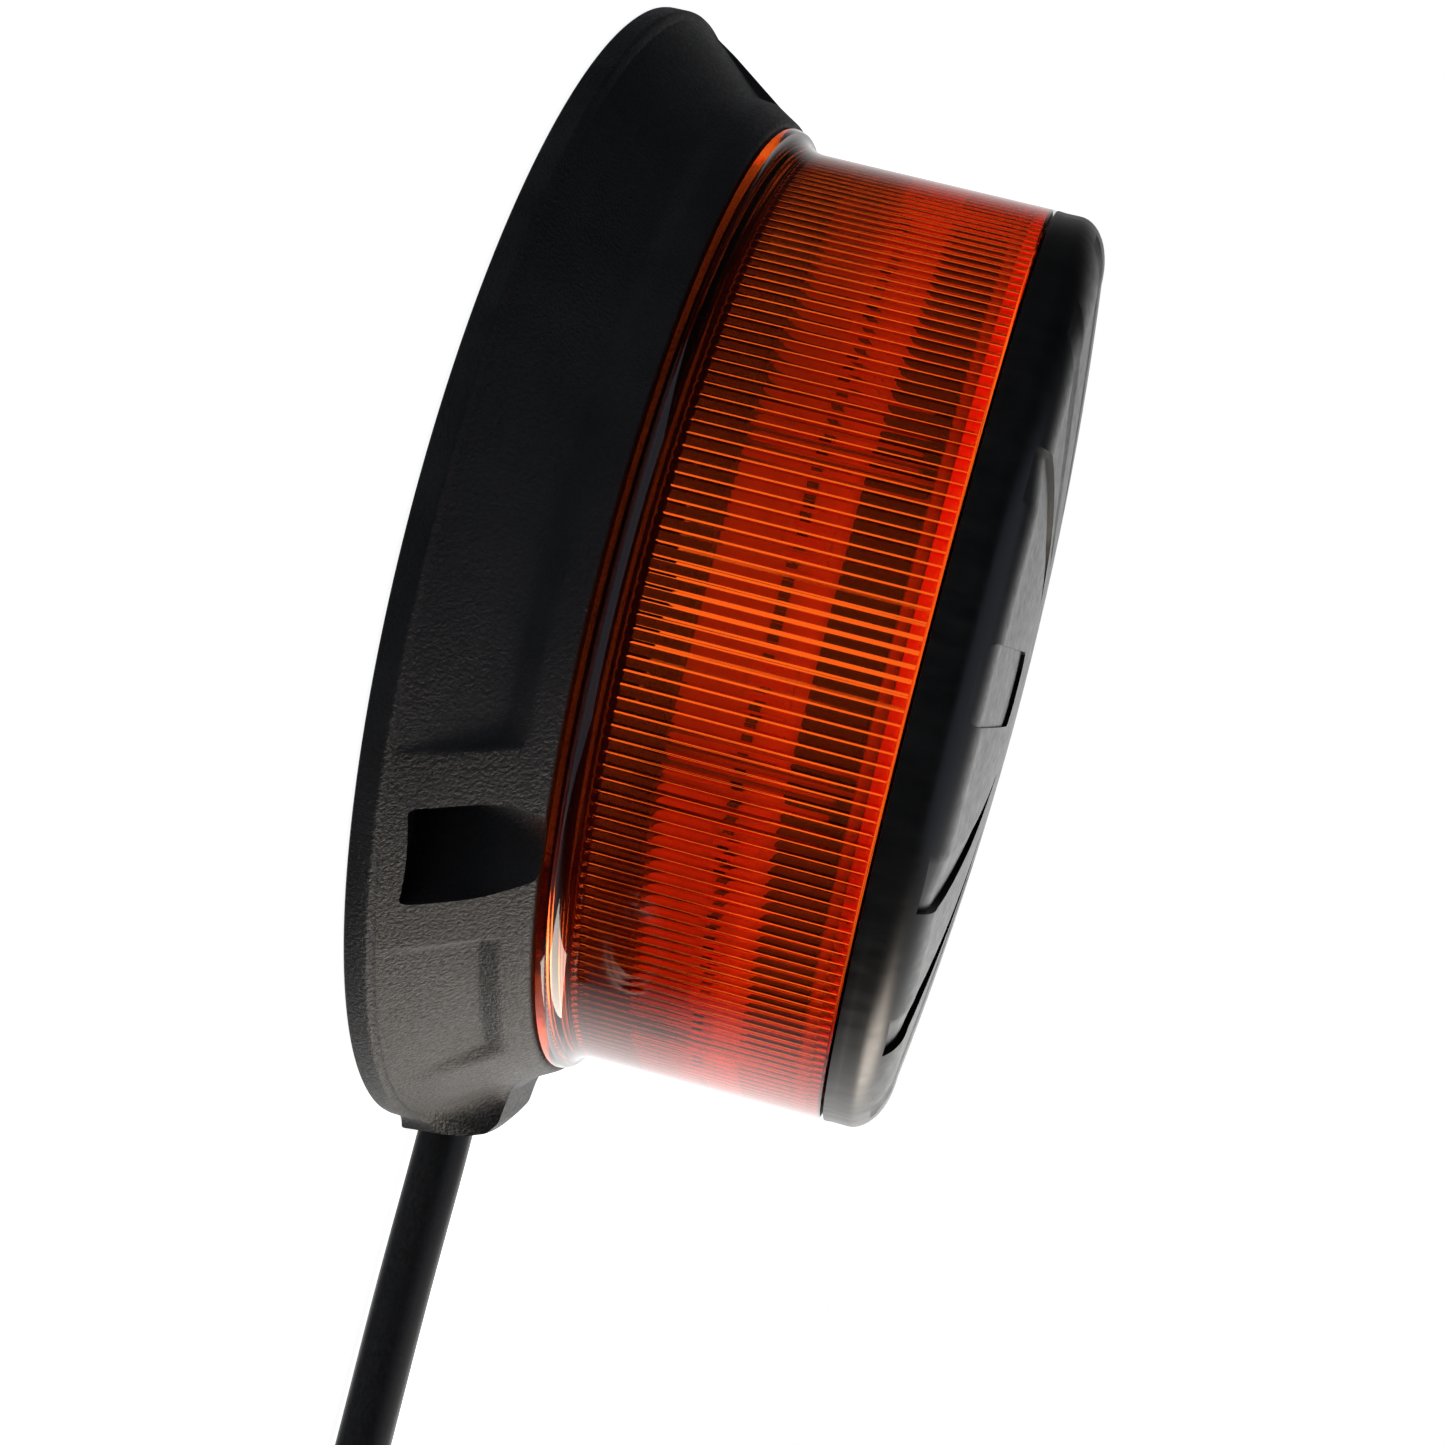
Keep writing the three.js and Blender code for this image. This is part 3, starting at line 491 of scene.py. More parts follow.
def inner_flutes():
    """Raises round ribs on the inside of a lens blank between two levels."""
    tree, given = new_tree("Inner flutes", [
        ("Blank", "Geometry"), ("Ribs", "Int"), ("Depth", "Float"), ("Bore Radius", "Float"),
        ("Low End", "Float"), ("High End", "Float"), ("Run-out", "Float"), ("Material", "Material")])
    math_node = "ShaderNodeMath"
    at = add(tree, "GeometryNodeInputPosition").outputs[0]
    xyz = add(tree, "ShaderNodeSeparateXYZ", {0: at}).outputs
    angle = add(tree, math_node, {0: xyz["Y"], 1: xyz["X"]}, operation="ARCTAN2")
    turns = add(tree, math_node, {0: angle.outputs[0], 1: TAU}, operation="DIVIDE")
    ribs = add(tree, math_node, {0: turns.outputs[0], 1: given["Ribs"]}, operation="MULTIPLY")
    share = add(tree, math_node, {0: ribs.outputs[0]}, operation="FRACT")
    offset = add(tree, math_node, {0: share.outputs[0], 1: 2.0, 2: -1.0}, operation="MULTIPLY_ADD")
    square = add(tree, math_node, {0: offset.outputs[0], 1: offset.outputs[0]}, operation="MULTIPLY")
    crown = add(tree, math_node, {0: 1.0, 1: square.outputs[0]}, operation="SUBTRACT", use_clamp=True)
    rib = add(tree, math_node, {0: crown.outputs[0]}, operation="SQRT")
    start = add(tree, math_node, {0: given["Low End"], 1: given["Run-out"]}, operation="ADD")
    stop = add(tree, math_node, {0: given["High End"], 1: given["Run-out"]}, operation="ADD")
    rise = add(tree, "ShaderNodeMapRange", {
        "Value": xyz["Z"], "From Min": given["Low End"], "From Max": start.outputs[0],
    }, interpolation_type="SMOOTHSTEP")
    fall = add(tree, "ShaderNodeMapRange", {
        "Value": xyz["Z"], "From Min": given["High End"], "From Max": stop.outputs[0],
        "To Min": 1.0, "To Max": 0.0,
    }, interpolation_type="LINEAR")
    flat = add(tree, "ShaderNodeCombineXYZ", {"X": xyz["X"], "Y": xyz["Y"]}).outputs[0]
    radius = add(tree, "ShaderNodeVectorMath", {0: flat}, operation="LENGTH").outputs["Value"]
    # only points on the bore move
    factors = [rib.outputs[0], rise.outputs[0], fall.outputs[0]]
    for side, test in (("SUBTRACT", "GREATER_THAN"), ("ADD", "LESS_THAN")):
        limit = add(tree, math_node, {0: given["Bore Radius"], 1: 0.05 * MM}, operation=side).outputs[0]
        factors.append(add(tree, math_node, {0: radius, 1: limit}, operation=test).outputs[0])
    amount = given["Depth"]
    for factor in factors:
        amount = add(tree, math_node, {0: amount, 1: factor}, operation="MULTIPLY").outputs[0]
    outwards = add(tree, "ShaderNodeVectorMath", {0: flat}, operation="NORMALIZE").outputs[0]
    inwards = add(tree, math_node, {0: amount, 1: -1.0}, operation="MULTIPLY").outputs[0]
    push = add(tree, "ShaderNodeVectorMath", {0: outwards, "Scale": inwards}, operation="SCALE").outputs[0]
    ribbed = add(tree, "GeometryNodeSetPosition", {"Geometry": given["Blank"], "Offset": push})
    solid = add(tree, "GeometryNodeRealizeInstances", {0: ribbed.outputs[0]})
    coated = add(tree, "GeometryNodeSetMaterial", {0: solid.outputs[0], "Material": given["Material"]})
    add(tree, "NodeGroupOutput", {0: coated.outputs[0]})
    return tree


def grown(name, tree, values, start=None, sharp=30):
    """Runs a geometry tree on a blank, or on nothing, and returns the plain result."""
    body = start or bpy.data.objects.new(name, bpy.data.meshes.new(name))
    if start is None:
        bpy.context.scene.collection.objects.link(body)
    step = body.modifiers.new("Grow", "NODES")
    step.node_group = tree
    for item in tree.interface.items_tree:
        if item.in_out == "INPUT" and item.name in values:
            step[item.identifier] = values[item.name]
    plain(body)
    tidy(body.data)
    soften(body, sharp)
    return body


def ringed(name, pattern, copies, first_degrees, material, sharp=30):
    """A pattern piece copied round the lens axis as one plain mesh."""
    tree = bpy.data.node_groups.get("Ring of copies") or ring_of_copies()
    body = grown(name, tree, {
        "Pattern": pattern, "Copies": copies, "First Angle": math.radians(first_degrees), "Material": material,
    }, sharp=sharp)
    discard(pattern)
    return body


# ------------------------------------------------------------------ settings
def length(name, description, default_mm):
    """A length property whose default is given in millimetres."""
    return bpy.props.FloatProperty(name=name, description=description, default=default_mm * MM, unit="LENGTH",
                                   precision=5)


def watts(name, description, default):
    """The power of one light."""
    return bpy.props.FloatProperty(name=name, description=description, default=default, unit="POWER")


def colour(name, description, default):
    """A colour property, kept as an sRGB hex string."""
    return bpy.props.StringProperty(name=name, description=description, default=default)


class BeaconSizes(bpy.types.PropertyGroup):
    """Sizes that a user would change."""
    base_radius: length("Base radius", "Lens axis to the rim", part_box("base_housing")[1].x / MM)
    pad_half_width: length("Pad half width", "Half the width of the raised pad at each bolt", 12)
    pocket_half_width: length("Pocket half width", "Half the width of each bolt pocket", 5.9)
    bolt_hole: length("Bolt hole", "Diameter of each bolt hole", 6.5)
    lens_radius: length("Lens radius", "Outside of the lens wall at its foot", 58)
    lens_wall: length("Lens wall", "Thickness of the lens wall", 2.5)
    flute_depth: length("Flute depth", "Height of each rib inside the lens", 0.3)
    flutes: bpy.props.IntProperty(name="Flutes", description="Ribs inside the lens", default=240, min=24)
    relief_depth: length("Cap relief depth", "Deepest part of each hollow in the cap", 0.8)
    cable_diameter: length("Cable diameter", "Outside of the sheath", 7)


class BeaconColours(bpy.types.PropertyGroup):
    """Colours that a user would change, as sRGB hex."""
    housing: colour("Housing", "Black of the textured base", "#121417")
    housing_light: colour("Housing, worn", "Lighter patches of the base", "#1B1D21")
    cap: colour("Cap", "Black of the polished cap", "#0A0B0D")
    cap_light: colour("Cap, scuffed", "Lighter scuffs of the cap", "#141517")
    amber: colour("Amber", "Tint of the lens", "#F05A15")
    amber_light: colour("Amber, one face", "Tint that light takes at each face of the lens", "#FFA860")
    cable: colour("Cable", "Black of the sheath", "#101113")


class StageSettings(bpy.types.PropertyGroup):
    """Strength of the studio lights."""
    side_light: watts("Side light", "Softbox beside the cable end", 5.2)
    top_light: watts("Top light", "Softbox over the cap", 1.6)
    back_light: watts("Back light", "Softbox behind the beacon", 0.3)
    inner_light: watts("Inner fill", "Softbox that only the pieces inside the lens see", 2.0)


# ------------------------------------------------------------------ stage
class BEACON_OT_camera(bpy.types.Operator):
    """Places the camera beside the lens, rolled so that the lens axis lies almost level."""
    bl_idname = "beacon.camera"
    bl_label = "Camera"

    def execute(self, context):
        data = bpy.data.cameras.new("camera")
        data.lens, data.sensor_width, data.shift_y = 52.354, 36.0, -0.0502     # mm, mm, share of the frame
        data.clip_start, data.clip_end = 0.01, 20.0
        camera = bpy.data.objects.new("camera", data)
        context.scene.collection.objects.link(camera)
        camera.location = Vector((-265.03, -10.65, 59.81)) * MM
        camera.rotation_euler = [math.radians(a) for a in (-60.7021, -73.5404, 62.9927)]
        context.scene.camera = camera
        return {"FINISHED"}


class BEACON_OT_stage(bpy.types.Operator):
    """Lays the pale floor and sets the soft lights and the white surroundings."""
    bl_idname = "beacon.stage"
    bl_label = "Stage and lights"

    def execute(self, context):
        power = context.scene.beacon_stage
        half, below = 4000, -0.3
        corners = [(-half, -half), (half, -half), (half, half), (-half, half)]
        floor = made("floor", [(x, y, below) for x, y in corners], [(0, 1, 2, 3)], light_table())
        floor.visible_glossy = False      # gloss mirrors the walls and softboxes, as under a polarised lamp
        # place, aim (mm), side (mm), power and colour of each softbox
        boxes = {
            "side softbox": ((330, -850, 430), (0, 0, 30), 520, power.side_light, "#FFF2E2"),
            "top softbox": ((-150, 0, 1000), (0, 0, 30), 1200, power.top_light, "#E2EAFF"),
            "back softbox": ((1000, -500, 450), (0, 0, 30), 700, power.back_light, "#FFFBF2"),
            "inner fill": ((-900, 100, 350), (0, 0, 36), 500, power.inner_light, "#FFFFFF"),
        }
        for name, (spot, aim, side, power_w, tone) in boxes.items():
            light = bpy.data.lights.new(name, "AREA")
            light.shape, light.size, light.energy = "SQUARE", side * MM, power_w
            light.color = linear(tone)[:3]
            lamp = bpy.data.objects.new(name, light)
            lamp.location = Vector(spot) * MM
            lamp.rotation_euler = (Vector(aim) - Vector(spot)).to_track_quat("-Z", "Y").to_euler()
            context.scene.collection.objects.link(lamp)
        # the fill is flagged off from everything but what stands inside the lens
        inside = bpy.data.collections.new("inside the lens")
        for name in ("led_boards", "led_packages", "led_phosphor", "board_resistors", "reflector_plate",
                     "heat_sink", "led_carrier"):
            inside.objects.link(bpy.data.objects[name])
        bpy.data.objects["inner fill"].light_linking.receiver_collection = inside
        self.surroundings(context)
        return {"FINISHED"}

    def surroundings(self, context):
        """White where it is seen, dimmer where it lights the object, and darkest behind the camera."""
        world = bpy.data.worlds.new("Studio")
        context.scene.world = world
        world.use_nodes = True
        tree = world.node_tree
        way = add(tree, "ShaderNodeTexCoord").outputs["Generated"]
        glow = 0.012             # what the object sees away from both walls
        # each white wall: the way to it, where its edge starts and ends as a cosine, and its brightness
        walls = (((1, -0.3, -0.15), 0.45, 0.96, 1.0), ((0.75, -0.55, 0.35), 0.6, 0.97, 0.42))
        for wall, start, end, bright in walls:
            facing = add(tree, "ShaderNodeVectorMath", {0: way, 1: Vector(wall).normalized()},
                         operation="DOT_PRODUCT")
            lit = add(tree, "ShaderNodeMapRange", {
                "Value": facing.outputs["Value"], "From Min": start, "From Max": end, "To Max": bright,
            }, interpolation_type="SMOOTHSTEP")
            both = add(tree, "ShaderNodeMath", {0: lit.outputs["Result"], 1: glow}, operation="ADD")
            glow = both.outputs[0]
        seen = add(tree, "ShaderNodeLightPath").outputs["Is Camera Ray"]
        strength = add(tree, "ShaderNodeMix", {"Factor": seen, "A": glow, "B": 1.0}).outputs["Result"]
        tree.links.new(strength, tree.nodes["Background"].inputs["Strength"])
        tree.nodes["Background"].inputs["Color"].default_value = (1, 1, 1, 1)


# ------------------------------------------------------------------ cable
class BEACON_OT_cable(bpy.types.Operator):
    """Lays the cable out of the base into its coil, with its tie and three stripped cores."""
    bl_idname = "beacon.cable"
    bl_label = "Cable, tie and cores"

    COIL_AT = (-47, -172)
    TAIL_RADIUS = 54.8
    WOUND = 1933             # degrees from the start of the coil to the end of the sheath

    def execute(self, context):
        size, colours = context.scene.beacon_sizes, context.scene.beacon_colours
        radius = size.cable_diameter / MM / 2
        path = self.route()
        cord = tube("cable_cord", path, radius, satin_pvc_sheath(colours), sides=20)
        pieces = [self.tie()] + self.cores(path)
        place(cord, "cable_sheath", "cable", "cable_coil", "cable_tail")
        return {"FINISHED"}

    def route(self):
        """The centreline from the grommet's inner end to the last of the sheath, in millimetres."""
        straight = [(0, -9.8, 3.8), (0, -6, 3.8), (0, 0, 3.8), (0, 6, 3.8), (0.1, 13, 3.7), (0.3, 20, 3.6),
                    (0.6, 28, 3.55), (0.9, 36, 3.55), (1.1, 44, 3.55), (1.1, 52, 3.55), (0.8, 58, 3.6),
                    (0.3, 66, 3.8), (0.1, 72.5, 4.0), (0, 80, 4.2), (0, 88, 4.35)]
        points = [(x, OUTLET_FACE - out, z) for x, out, z in straight]
        # radius and height against degrees wound, easing from each to the next
        outer, middle, inner = 47, 40, 33
        lower, upper, resting = 4.4, 11.4, 3.55
        radii = [(0, outer), (255, outer), (360, middle), (615, middle), (720, inner), (1250, inner),
                 (1355, middle), (1610, middle), (1715, outer), (1760, outer), (1865, self.TAIL_RADIUS),
                 (self.WOUND, self.TAIL_RADIUS)]
        levels = [(0, lower), (955, lower), (1045, upper), (1810, upper), (1883, resting),
                  (self.WOUND, resting)]
        for degrees in np.arange(0, self.WOUND + 0.1, 9):
            r, z = self.eased_step(radii, degrees), self.eased_step(levels, degrees)
            angle = -math.radians(degrees)
            points.append((self.COIL_AT[0] + r * math.cos(angle), self.COIL_AT[1] + r * math.sin(angle), z))
        return smooth_path(points, 3.4)

    @staticmethod
    def eased_step(steps, at):
        """A value that eases from step to step, each step a pair of place and value."""
        for (start, low), (end, high) in zip(steps, steps[1:]):
            if at <= end:
                t = (at - start) / (end - start)
                return low + (high - low) * t * t * (3 - 2 * t)
        return steps[-1][1]

    def tie(self):
        """A nylon strap, a closed band round the coil's section, 150 degrees round the coil."""
        low, high, inner, outer = 0.1, 15.8, 28.6, 51.4
        thick, half = 0.6, 2.5
        loop = eased([(inner, low), (outer, low), (outer, high), (inner, high)], 3.0, steps=5)
        cx = sum(x for x, _ in loop) / len(loop)
        cz = sum(z for _, z in loop) / len(loop)
        rings = []
        for x, z in loop:
            away = Vector((x - cx, z - cz)).normalized() * thick
            u, v = x - away.x, max(z - away.y, low)
            ring = rotated([(x, -half, z), (x, half, z), (u, half, v), (u, -half, v)], 150)
            rings.append([(a + self.COIL_AT[0], b + self.COIL_AT[1], c) for a, b, c in ring])
        nylon = moulded_plastic("Black nylon strap", "#131416", "#1E1F22", 0.5, 0.75, 0.4)
        strap = made("coil_strap", *skin(rings), nylon)
        return place(strap, "tie", "coil_tie")

    def cores(self, path):
        """Three insulated cores out of the sheath's end, each stripped to tinned strands."""
        end = path[-1]
        heading = math.atan2(*(path[-1] - path[-3])[1::-1])
        c, s = math.cos(heading), math.sin(heading)
        tinned = bare_metal("Tinned copper strands", "#8E8F92", "#C9CACC", 0.25, 0.45, lump_mm=0.3)
        # the start beside the sheath's axis, then points ahead of its end; colours dark and light
        cores = {
            "red": ((1.3, 4.5), [(14, 5, 1.8), (26, 10, 1.0), (38, 14, 1.0)], "#8E1512", "#B3201C"),
            "black": ((0, 2.0), [(14, 1, 1.1), (26, 2.5, 1.0), (38, 5, 1.0)], "#121214", "#1E1E21"),
            "yellow": ((-1.3, 4.5), [(13, -2.5, 1.8), (25, -4, 1.0), (36, -4.5, 1.0)], "#B9930F", "#D9B521"),
        }
        bare = 8                 # millimetres of strands past the insulation
        out = []
        for name, ((aside, level), reach, dark, light) in cores.items():
            bends = [(-2, aside, level), (4, aside, level)] + reach
            bends = [(end[0] + a * c - b * s, end[1] + a * s + b * c, z) for a, b, z in bends]
            points = smooth_path(bends, 1.0)
            cover = tube(f"core_{name}_insulation", points[:-bare], 0.9,
                         core_insulation(f"{name.title()} PVC core", dark, light), sides=14)
            strands = self.twisted(f"core_{name}_strands", points[-bare - 3:], tinned)
            place(cover, f"core_{name}", f"core_{name}")
            place(strands, f"core_{name}")
            out += [cover, strands]
        return out

    def twisted(self, name, points, metal):
        """Seven tinned strands twisted round each other."""
        dense = smooth_path(points, 0.4)
        ahead = np.gradient(dense, axis=0)
        ahead /= np.linalg.norm(ahead, axis=1)[:, None]
        side = np.cross(ahead, (0, 0, 1))
        side /= np.linalg.norm(side, axis=1)[:, None]
        up = np.cross(side, ahead)
        thin, lay = 0.19, 0.38
        bodies = [tube(name + "_middle", dense, thin, None, sides=6)]
        for k in range(6):
            phase = k * TAU / 6 + np.arange(len(dense)) * 0.35
            around = dense + lay * (np.cos(phase)[:, None] * side + np.sin(phase)[:, None] * up)
            bodies.append(tube(f"{name}_{k}", around, thin, None, sides=6))
        parts = [([tuple(v.co / MM) for v in b.data.vertices], [tuple(f.vertices) for f in b.data.polygons])
                 for b in bodies]
        discard(*bodies)
        return gathered(name, parts, metal, 50)


# ------------------------------------------------------------------ base housing
def stations(r, size):
    """Each grid line's angle at radius r, its distance from a pad's or the outlet's middle, and its kind."""
    near = max(r, 45.0)
    pad = size.pad_half_width / MM
    # lines lie closer together where a pad or the outlet rises
    pad_t = sorted({s * t for s in (-1, 1) for t in (
        0, 2, 4, 6, 8, 9.5, pad - 1.6, pad - 1.0, pad - 0.75, pad - 0.5, pad - 0.25, pad, pad + 0.25,
        pad + 0.5, pad + 0.75, pad + 1.1, pad + 1.8)})
    out_t = sorted({s * t for s in (-1, 1) for t in (
        0, 2, 4, 6, 7.2, 7.8, 8.1, 8.4, 8.6, 8.8, 9.0, 9.2, 9.4, 9.7, 10.0, 10.5, 11.2, 12.2, 13.4, 15)})
    spans = [(90, pad_t), (210, pad_t), (270, out_t), (330, pad_t)]
    angles, offsets, kinds = [], [], []
    for k, (centre, ts) in enumerate(spans):
        for t in ts:
            angles.append(centre + math.degrees(math.asin(t / near)))
            offsets.append(abs(t))
            kinds.append("outlet" if centre == OUTLET_ANGLE else "pad")
        following, next_ts = spans[(k + 1) % len(spans)]
        following += 360 if following <= centre else 0
        start = centre + math.degrees(math.asin(ts[-1] / near))
        end = following + math.degrees(math.asin(next_ts[0] / near))
        count = round((following - centre) / 1.6)
        for i in range(1, count):
            angles.append(start + (end - start) * i / count)
            offsets.append(math.inf)
            kinds.append("open")
    return angles, offsets, kinds


class BEACON_OT_housing(bpy.types.Operator):
    """Builds the flared black base: bolt pads and pockets, raised cable outlet, lens groove and spigot."""
    bl_idname = "beacon.housing"
    bl_label = "Base housing"

    SECTOR = 27.0            # half angle of the raised sector round the outlet, degrees
    # each ring of posts: its circle, count and first angle; the post's radius, foot and top; its bore's ends
    POSTS = (
        (COVER_POSTS, 4, 45, 3.4, COVER_CLEAR, DECK_UNDER + 0.5, 2, 9.9),
        (CARRIER_POSTS, 4, 45, 3.0, DECK_TOP - 0.5, 20.3, 14, 22),
        (DRIVER_POSTS, 3, 90, 3.4, DECK_TOP - 0.5, 15.0, 11.3, 17),
    )
    SCREW_BORE = 1.55        # radius

    def outer_face(self, rim, pad, outlet, ease=0.55):
        """The outside from the foot of the rim to the groove, [radius, height], for one grid line."""
        step_foot = STEP_FOOT + pad * (PAD_FOOT - STEP_FOOT)
        plain_points = [(rim, 0), (rim, 2.65), (rim - 0.75, 3.1), (rim - 1.05, 3.2), (67.6, 6.36),
                        (65.2, 9.19), (62.9, step_foot), (62.6, COLLAR_FOOT)]
        if pad:
            for k, (r, z) in list(enumerate(plain_points))[4:6]:
                lift = (rim - 0.8 - r) / 7.6 * 10.9 + RIM_TOP
                plain_points[k] = (r, z + pad * (lift - z))
        block = [(72.8, 0), (72.1, 5.6), (71.6, 8.2), (70.6, 10.6), (69.0, 11.75), (66.6, 12.0), (64.4, 12.3),
                 (62.6, COLLAR_FOOT)]
        face = [((1 - outlet) * a + outlet * c, (1 - outlet) * b + outlet * d)
                for (a, b), (c, d) in zip(plain_points, block)]
        return face + [(60.9, BASE_TOP), (GROOVE_OUTSIDE, BASE_TOP), (GROOVE_OUTSIDE, GROOVE_FLOOR)]

    def shell(self, size):
        """The turned body whose outside swells into the pads, the raised sector and the outlet."""
        rim = size.base_radius / MM
        pad_edge = size.pad_half_width / MM
        _, offsets, kinds = stations(rim, size)
        mid_angles = stations(66.0, size)[0]
        inside = [(SPIGOT_OUTSIDE, GROOVE_FLOOR), (SPIGOT_OUTSIDE, SPIGOT_TOP), (SPIGOT_INSIDE, SPIGOT_TOP),
                  (SPIGOT_INSIDE, DECK_TOP)]
        under = [(LEDGE, DECK_UNDER), (LEDGE, COVER_CLEAR), (CHAMBER, COVER_CLEAR), (CHAMBER, 0)]
        profiles = []
        for offset, kind, angle in zip(offsets, kinds, mid_angles):
            pad = self.fade(offset, pad_edge - 0.2, pad_edge + 0.9) if kind == "pad" else 0.0
            from_outlet = abs((angle - OUTLET_ANGLE + 180) % 360 - 180)
            pad = max(pad, self.fade(from_outlet, self.SECTOR - 1.0, self.SECTOR + 1.2))
            outlet = 0.0
            if kind == "outlet":
                outlet = 1.0 if offset <= 8.6 else max(0.0, 1 - (offset - 8.6) / 5.4) ** 3
            profile = under + self.outer_face(rim, pad, outlet) + inside
            bent = eased([(1, DECK_UNDER)] + profile + [(1, DECK_TOP)], 0.45, 3, False)
            profiles.append([(0, DECK_UNDER)] + bent + [(0, DECK_TOP)])
        profiles = np.array(profiles)
        grid = np.zeros(profiles.shape[:2] + (3,))
        for row in range(profiles.shape[1]):
            radii = profiles[:, row, 0]
            if np.ptp(radii) > 1e-6:
                angles = np.radians([stations(r, size)[0][i] for i, r in enumerate(radii)])
            else:
                angles = np.radians(stations(float(radii[0]), size)[0])
            x, y = radii * np.cos(angles), radii * np.sin(angles)
            grid[:, row] = np.stack([x, y, profiles[:, row, 1]], axis=-1)
        return made("housing", *skin(grid, True, False))

    @staticmethod
    def fade(value, full, none):
        """1 up to full, 0 from none on, and a smooth fall between."""
        t = min(max((none - value) / (none - full), 0.0), 1.0)
        return t * t * (3 - 2 * t)

    def bosses(self):
        """Screw posts under and over the deck."""
        posts = [self.post(at, first + 360 // count * k, radius, low, high)
                 for at, count, first, radius, low, high, _, _ in self.POSTS for k in range(count)]
        return gathered("bosses", posts)

    @staticmethod
    def post(at, degrees, radius, low, high, sides=28):
        """A round post at a radius and angle from the lens axis."""
        x, y = at * math.cos(math.radians(degrees)), at * math.sin(math.radians(degrees))
        return prism(arc(x, y, radius, 0, 360 - 360 / sides, sides - 1), low, high)

    def hollows(self, size):
        """Everything cut out of the housing: pockets, holes, underside hollows and the cable's channel."""
        # a round inner end on the pad's side and small corners by the rim
        half, floor = size.pocket_half_width / MM, 3.0
        outer, corner = 67.9, 0.7
        pocket = arc(BOLT_CIRCLE - 0.4 + 0.6, 0, half, 90, 270, 24) \
            + arc(outer, -half + corner, corner, -90, 0, 4) + arc(outer, half - corner, corner, 0, 90, 4)
        hole = arc(BOLT_CIRCLE, 0, size.bolt_hole / MM / 2, 0, 350, 35)
        parts = []
        for angle in PAD_ANGLES:
            for points, faces in (prism(pocket, floor, 24), prism(hole, -1, floor + 1)):
                parts.append((rotated(points, angle), faces))
        parts += [self.post(at, first + 360 // count * k, self.SCREW_BORE, low, high, 20)
                  for at, count, first, _, _, _, low, high in self.POSTS for k in range(count)]
        parts += self.under_flange()
        # the cable's channel from the outlet inwards, the grommet's bore and the leads' way through the deck
        channel = [(5.6, -1)] + arc(0, 3.8, 5.6, 0, 180, 24) + [(-5.6, -1)]
        bore = arc(0, 6.4, 3.9, 0, 348, 29)
        for section, inner, outer in ((channel, -60.3, -80), (bore, -51.6, -62.3)):
            parts.append(([(x, y, z) for y in (inner, outer) for x, z in section], prism(section, 0, 1)[1]))
        parts.append(prism([(-4.6, -33.5), (4.6, -33.5), (4.6, -26.5), (-4.6, -26.5)], 9.5, 14))
        return gathered("hollows", parts)

    @staticmethod
    def under_flange():
        """Twelve webs leave these pockets under the flange, clear of the bolts and the outlet."""
        section = [(58.6, -1), (68.5, -1), (68.5, 1.5), (60.9, 8.9), (58.6, 8.9)]
        parts = []
        web, bolt_room, outlet_room = 1.05, 8.2, 10.2        # half angles left solid, degrees
        for start in range(15, 375, 30):
            low, high = start + web, start + 30 - web
            middle = (low + high) / 2
            blocked = [a for a in (*PAD_ANGLES, OUTLET_ANGLE) if abs((middle - a + 180) % 360 - 180) < 10]
            room = outlet_room if blocked == [OUTLET_ANGLE] else bolt_room
            halves = [(low, middle - room), (middle + room, high)] if blocked else [(low, high)]
            for start, end in halves:
                steps = max(3, round((end - start) / 2))
                lines = [[(r * math.cos(a), r * math.sin(a), z) for r, z in section]
                         for a in np.radians(np.linspace(start, end, steps + 1))]
                points, faces = skin(lines, False, True)
                count, last = len(section), steps * len(section)
                faces += [tuple(range(count)), tuple(range(last + count - 1, last - 1, -1))]
                parts.append((points, faces))
        return parts

    def execute(self, context):
        size, colours = context.scene.beacon_sizes, context.scene.beacon_colours
        housing = self.shell(size)
        combine(housing, self.bosses(), "UNION")
        combine(housing, self.hollows(size), "DIFFERENCE", 32)
        housing.data.materials.clear()
        housing.data.materials.append(spark_textured_nylon(colours))
        place(housing, "housing_plastic", "base_housing")
        return {"FINISHED"}


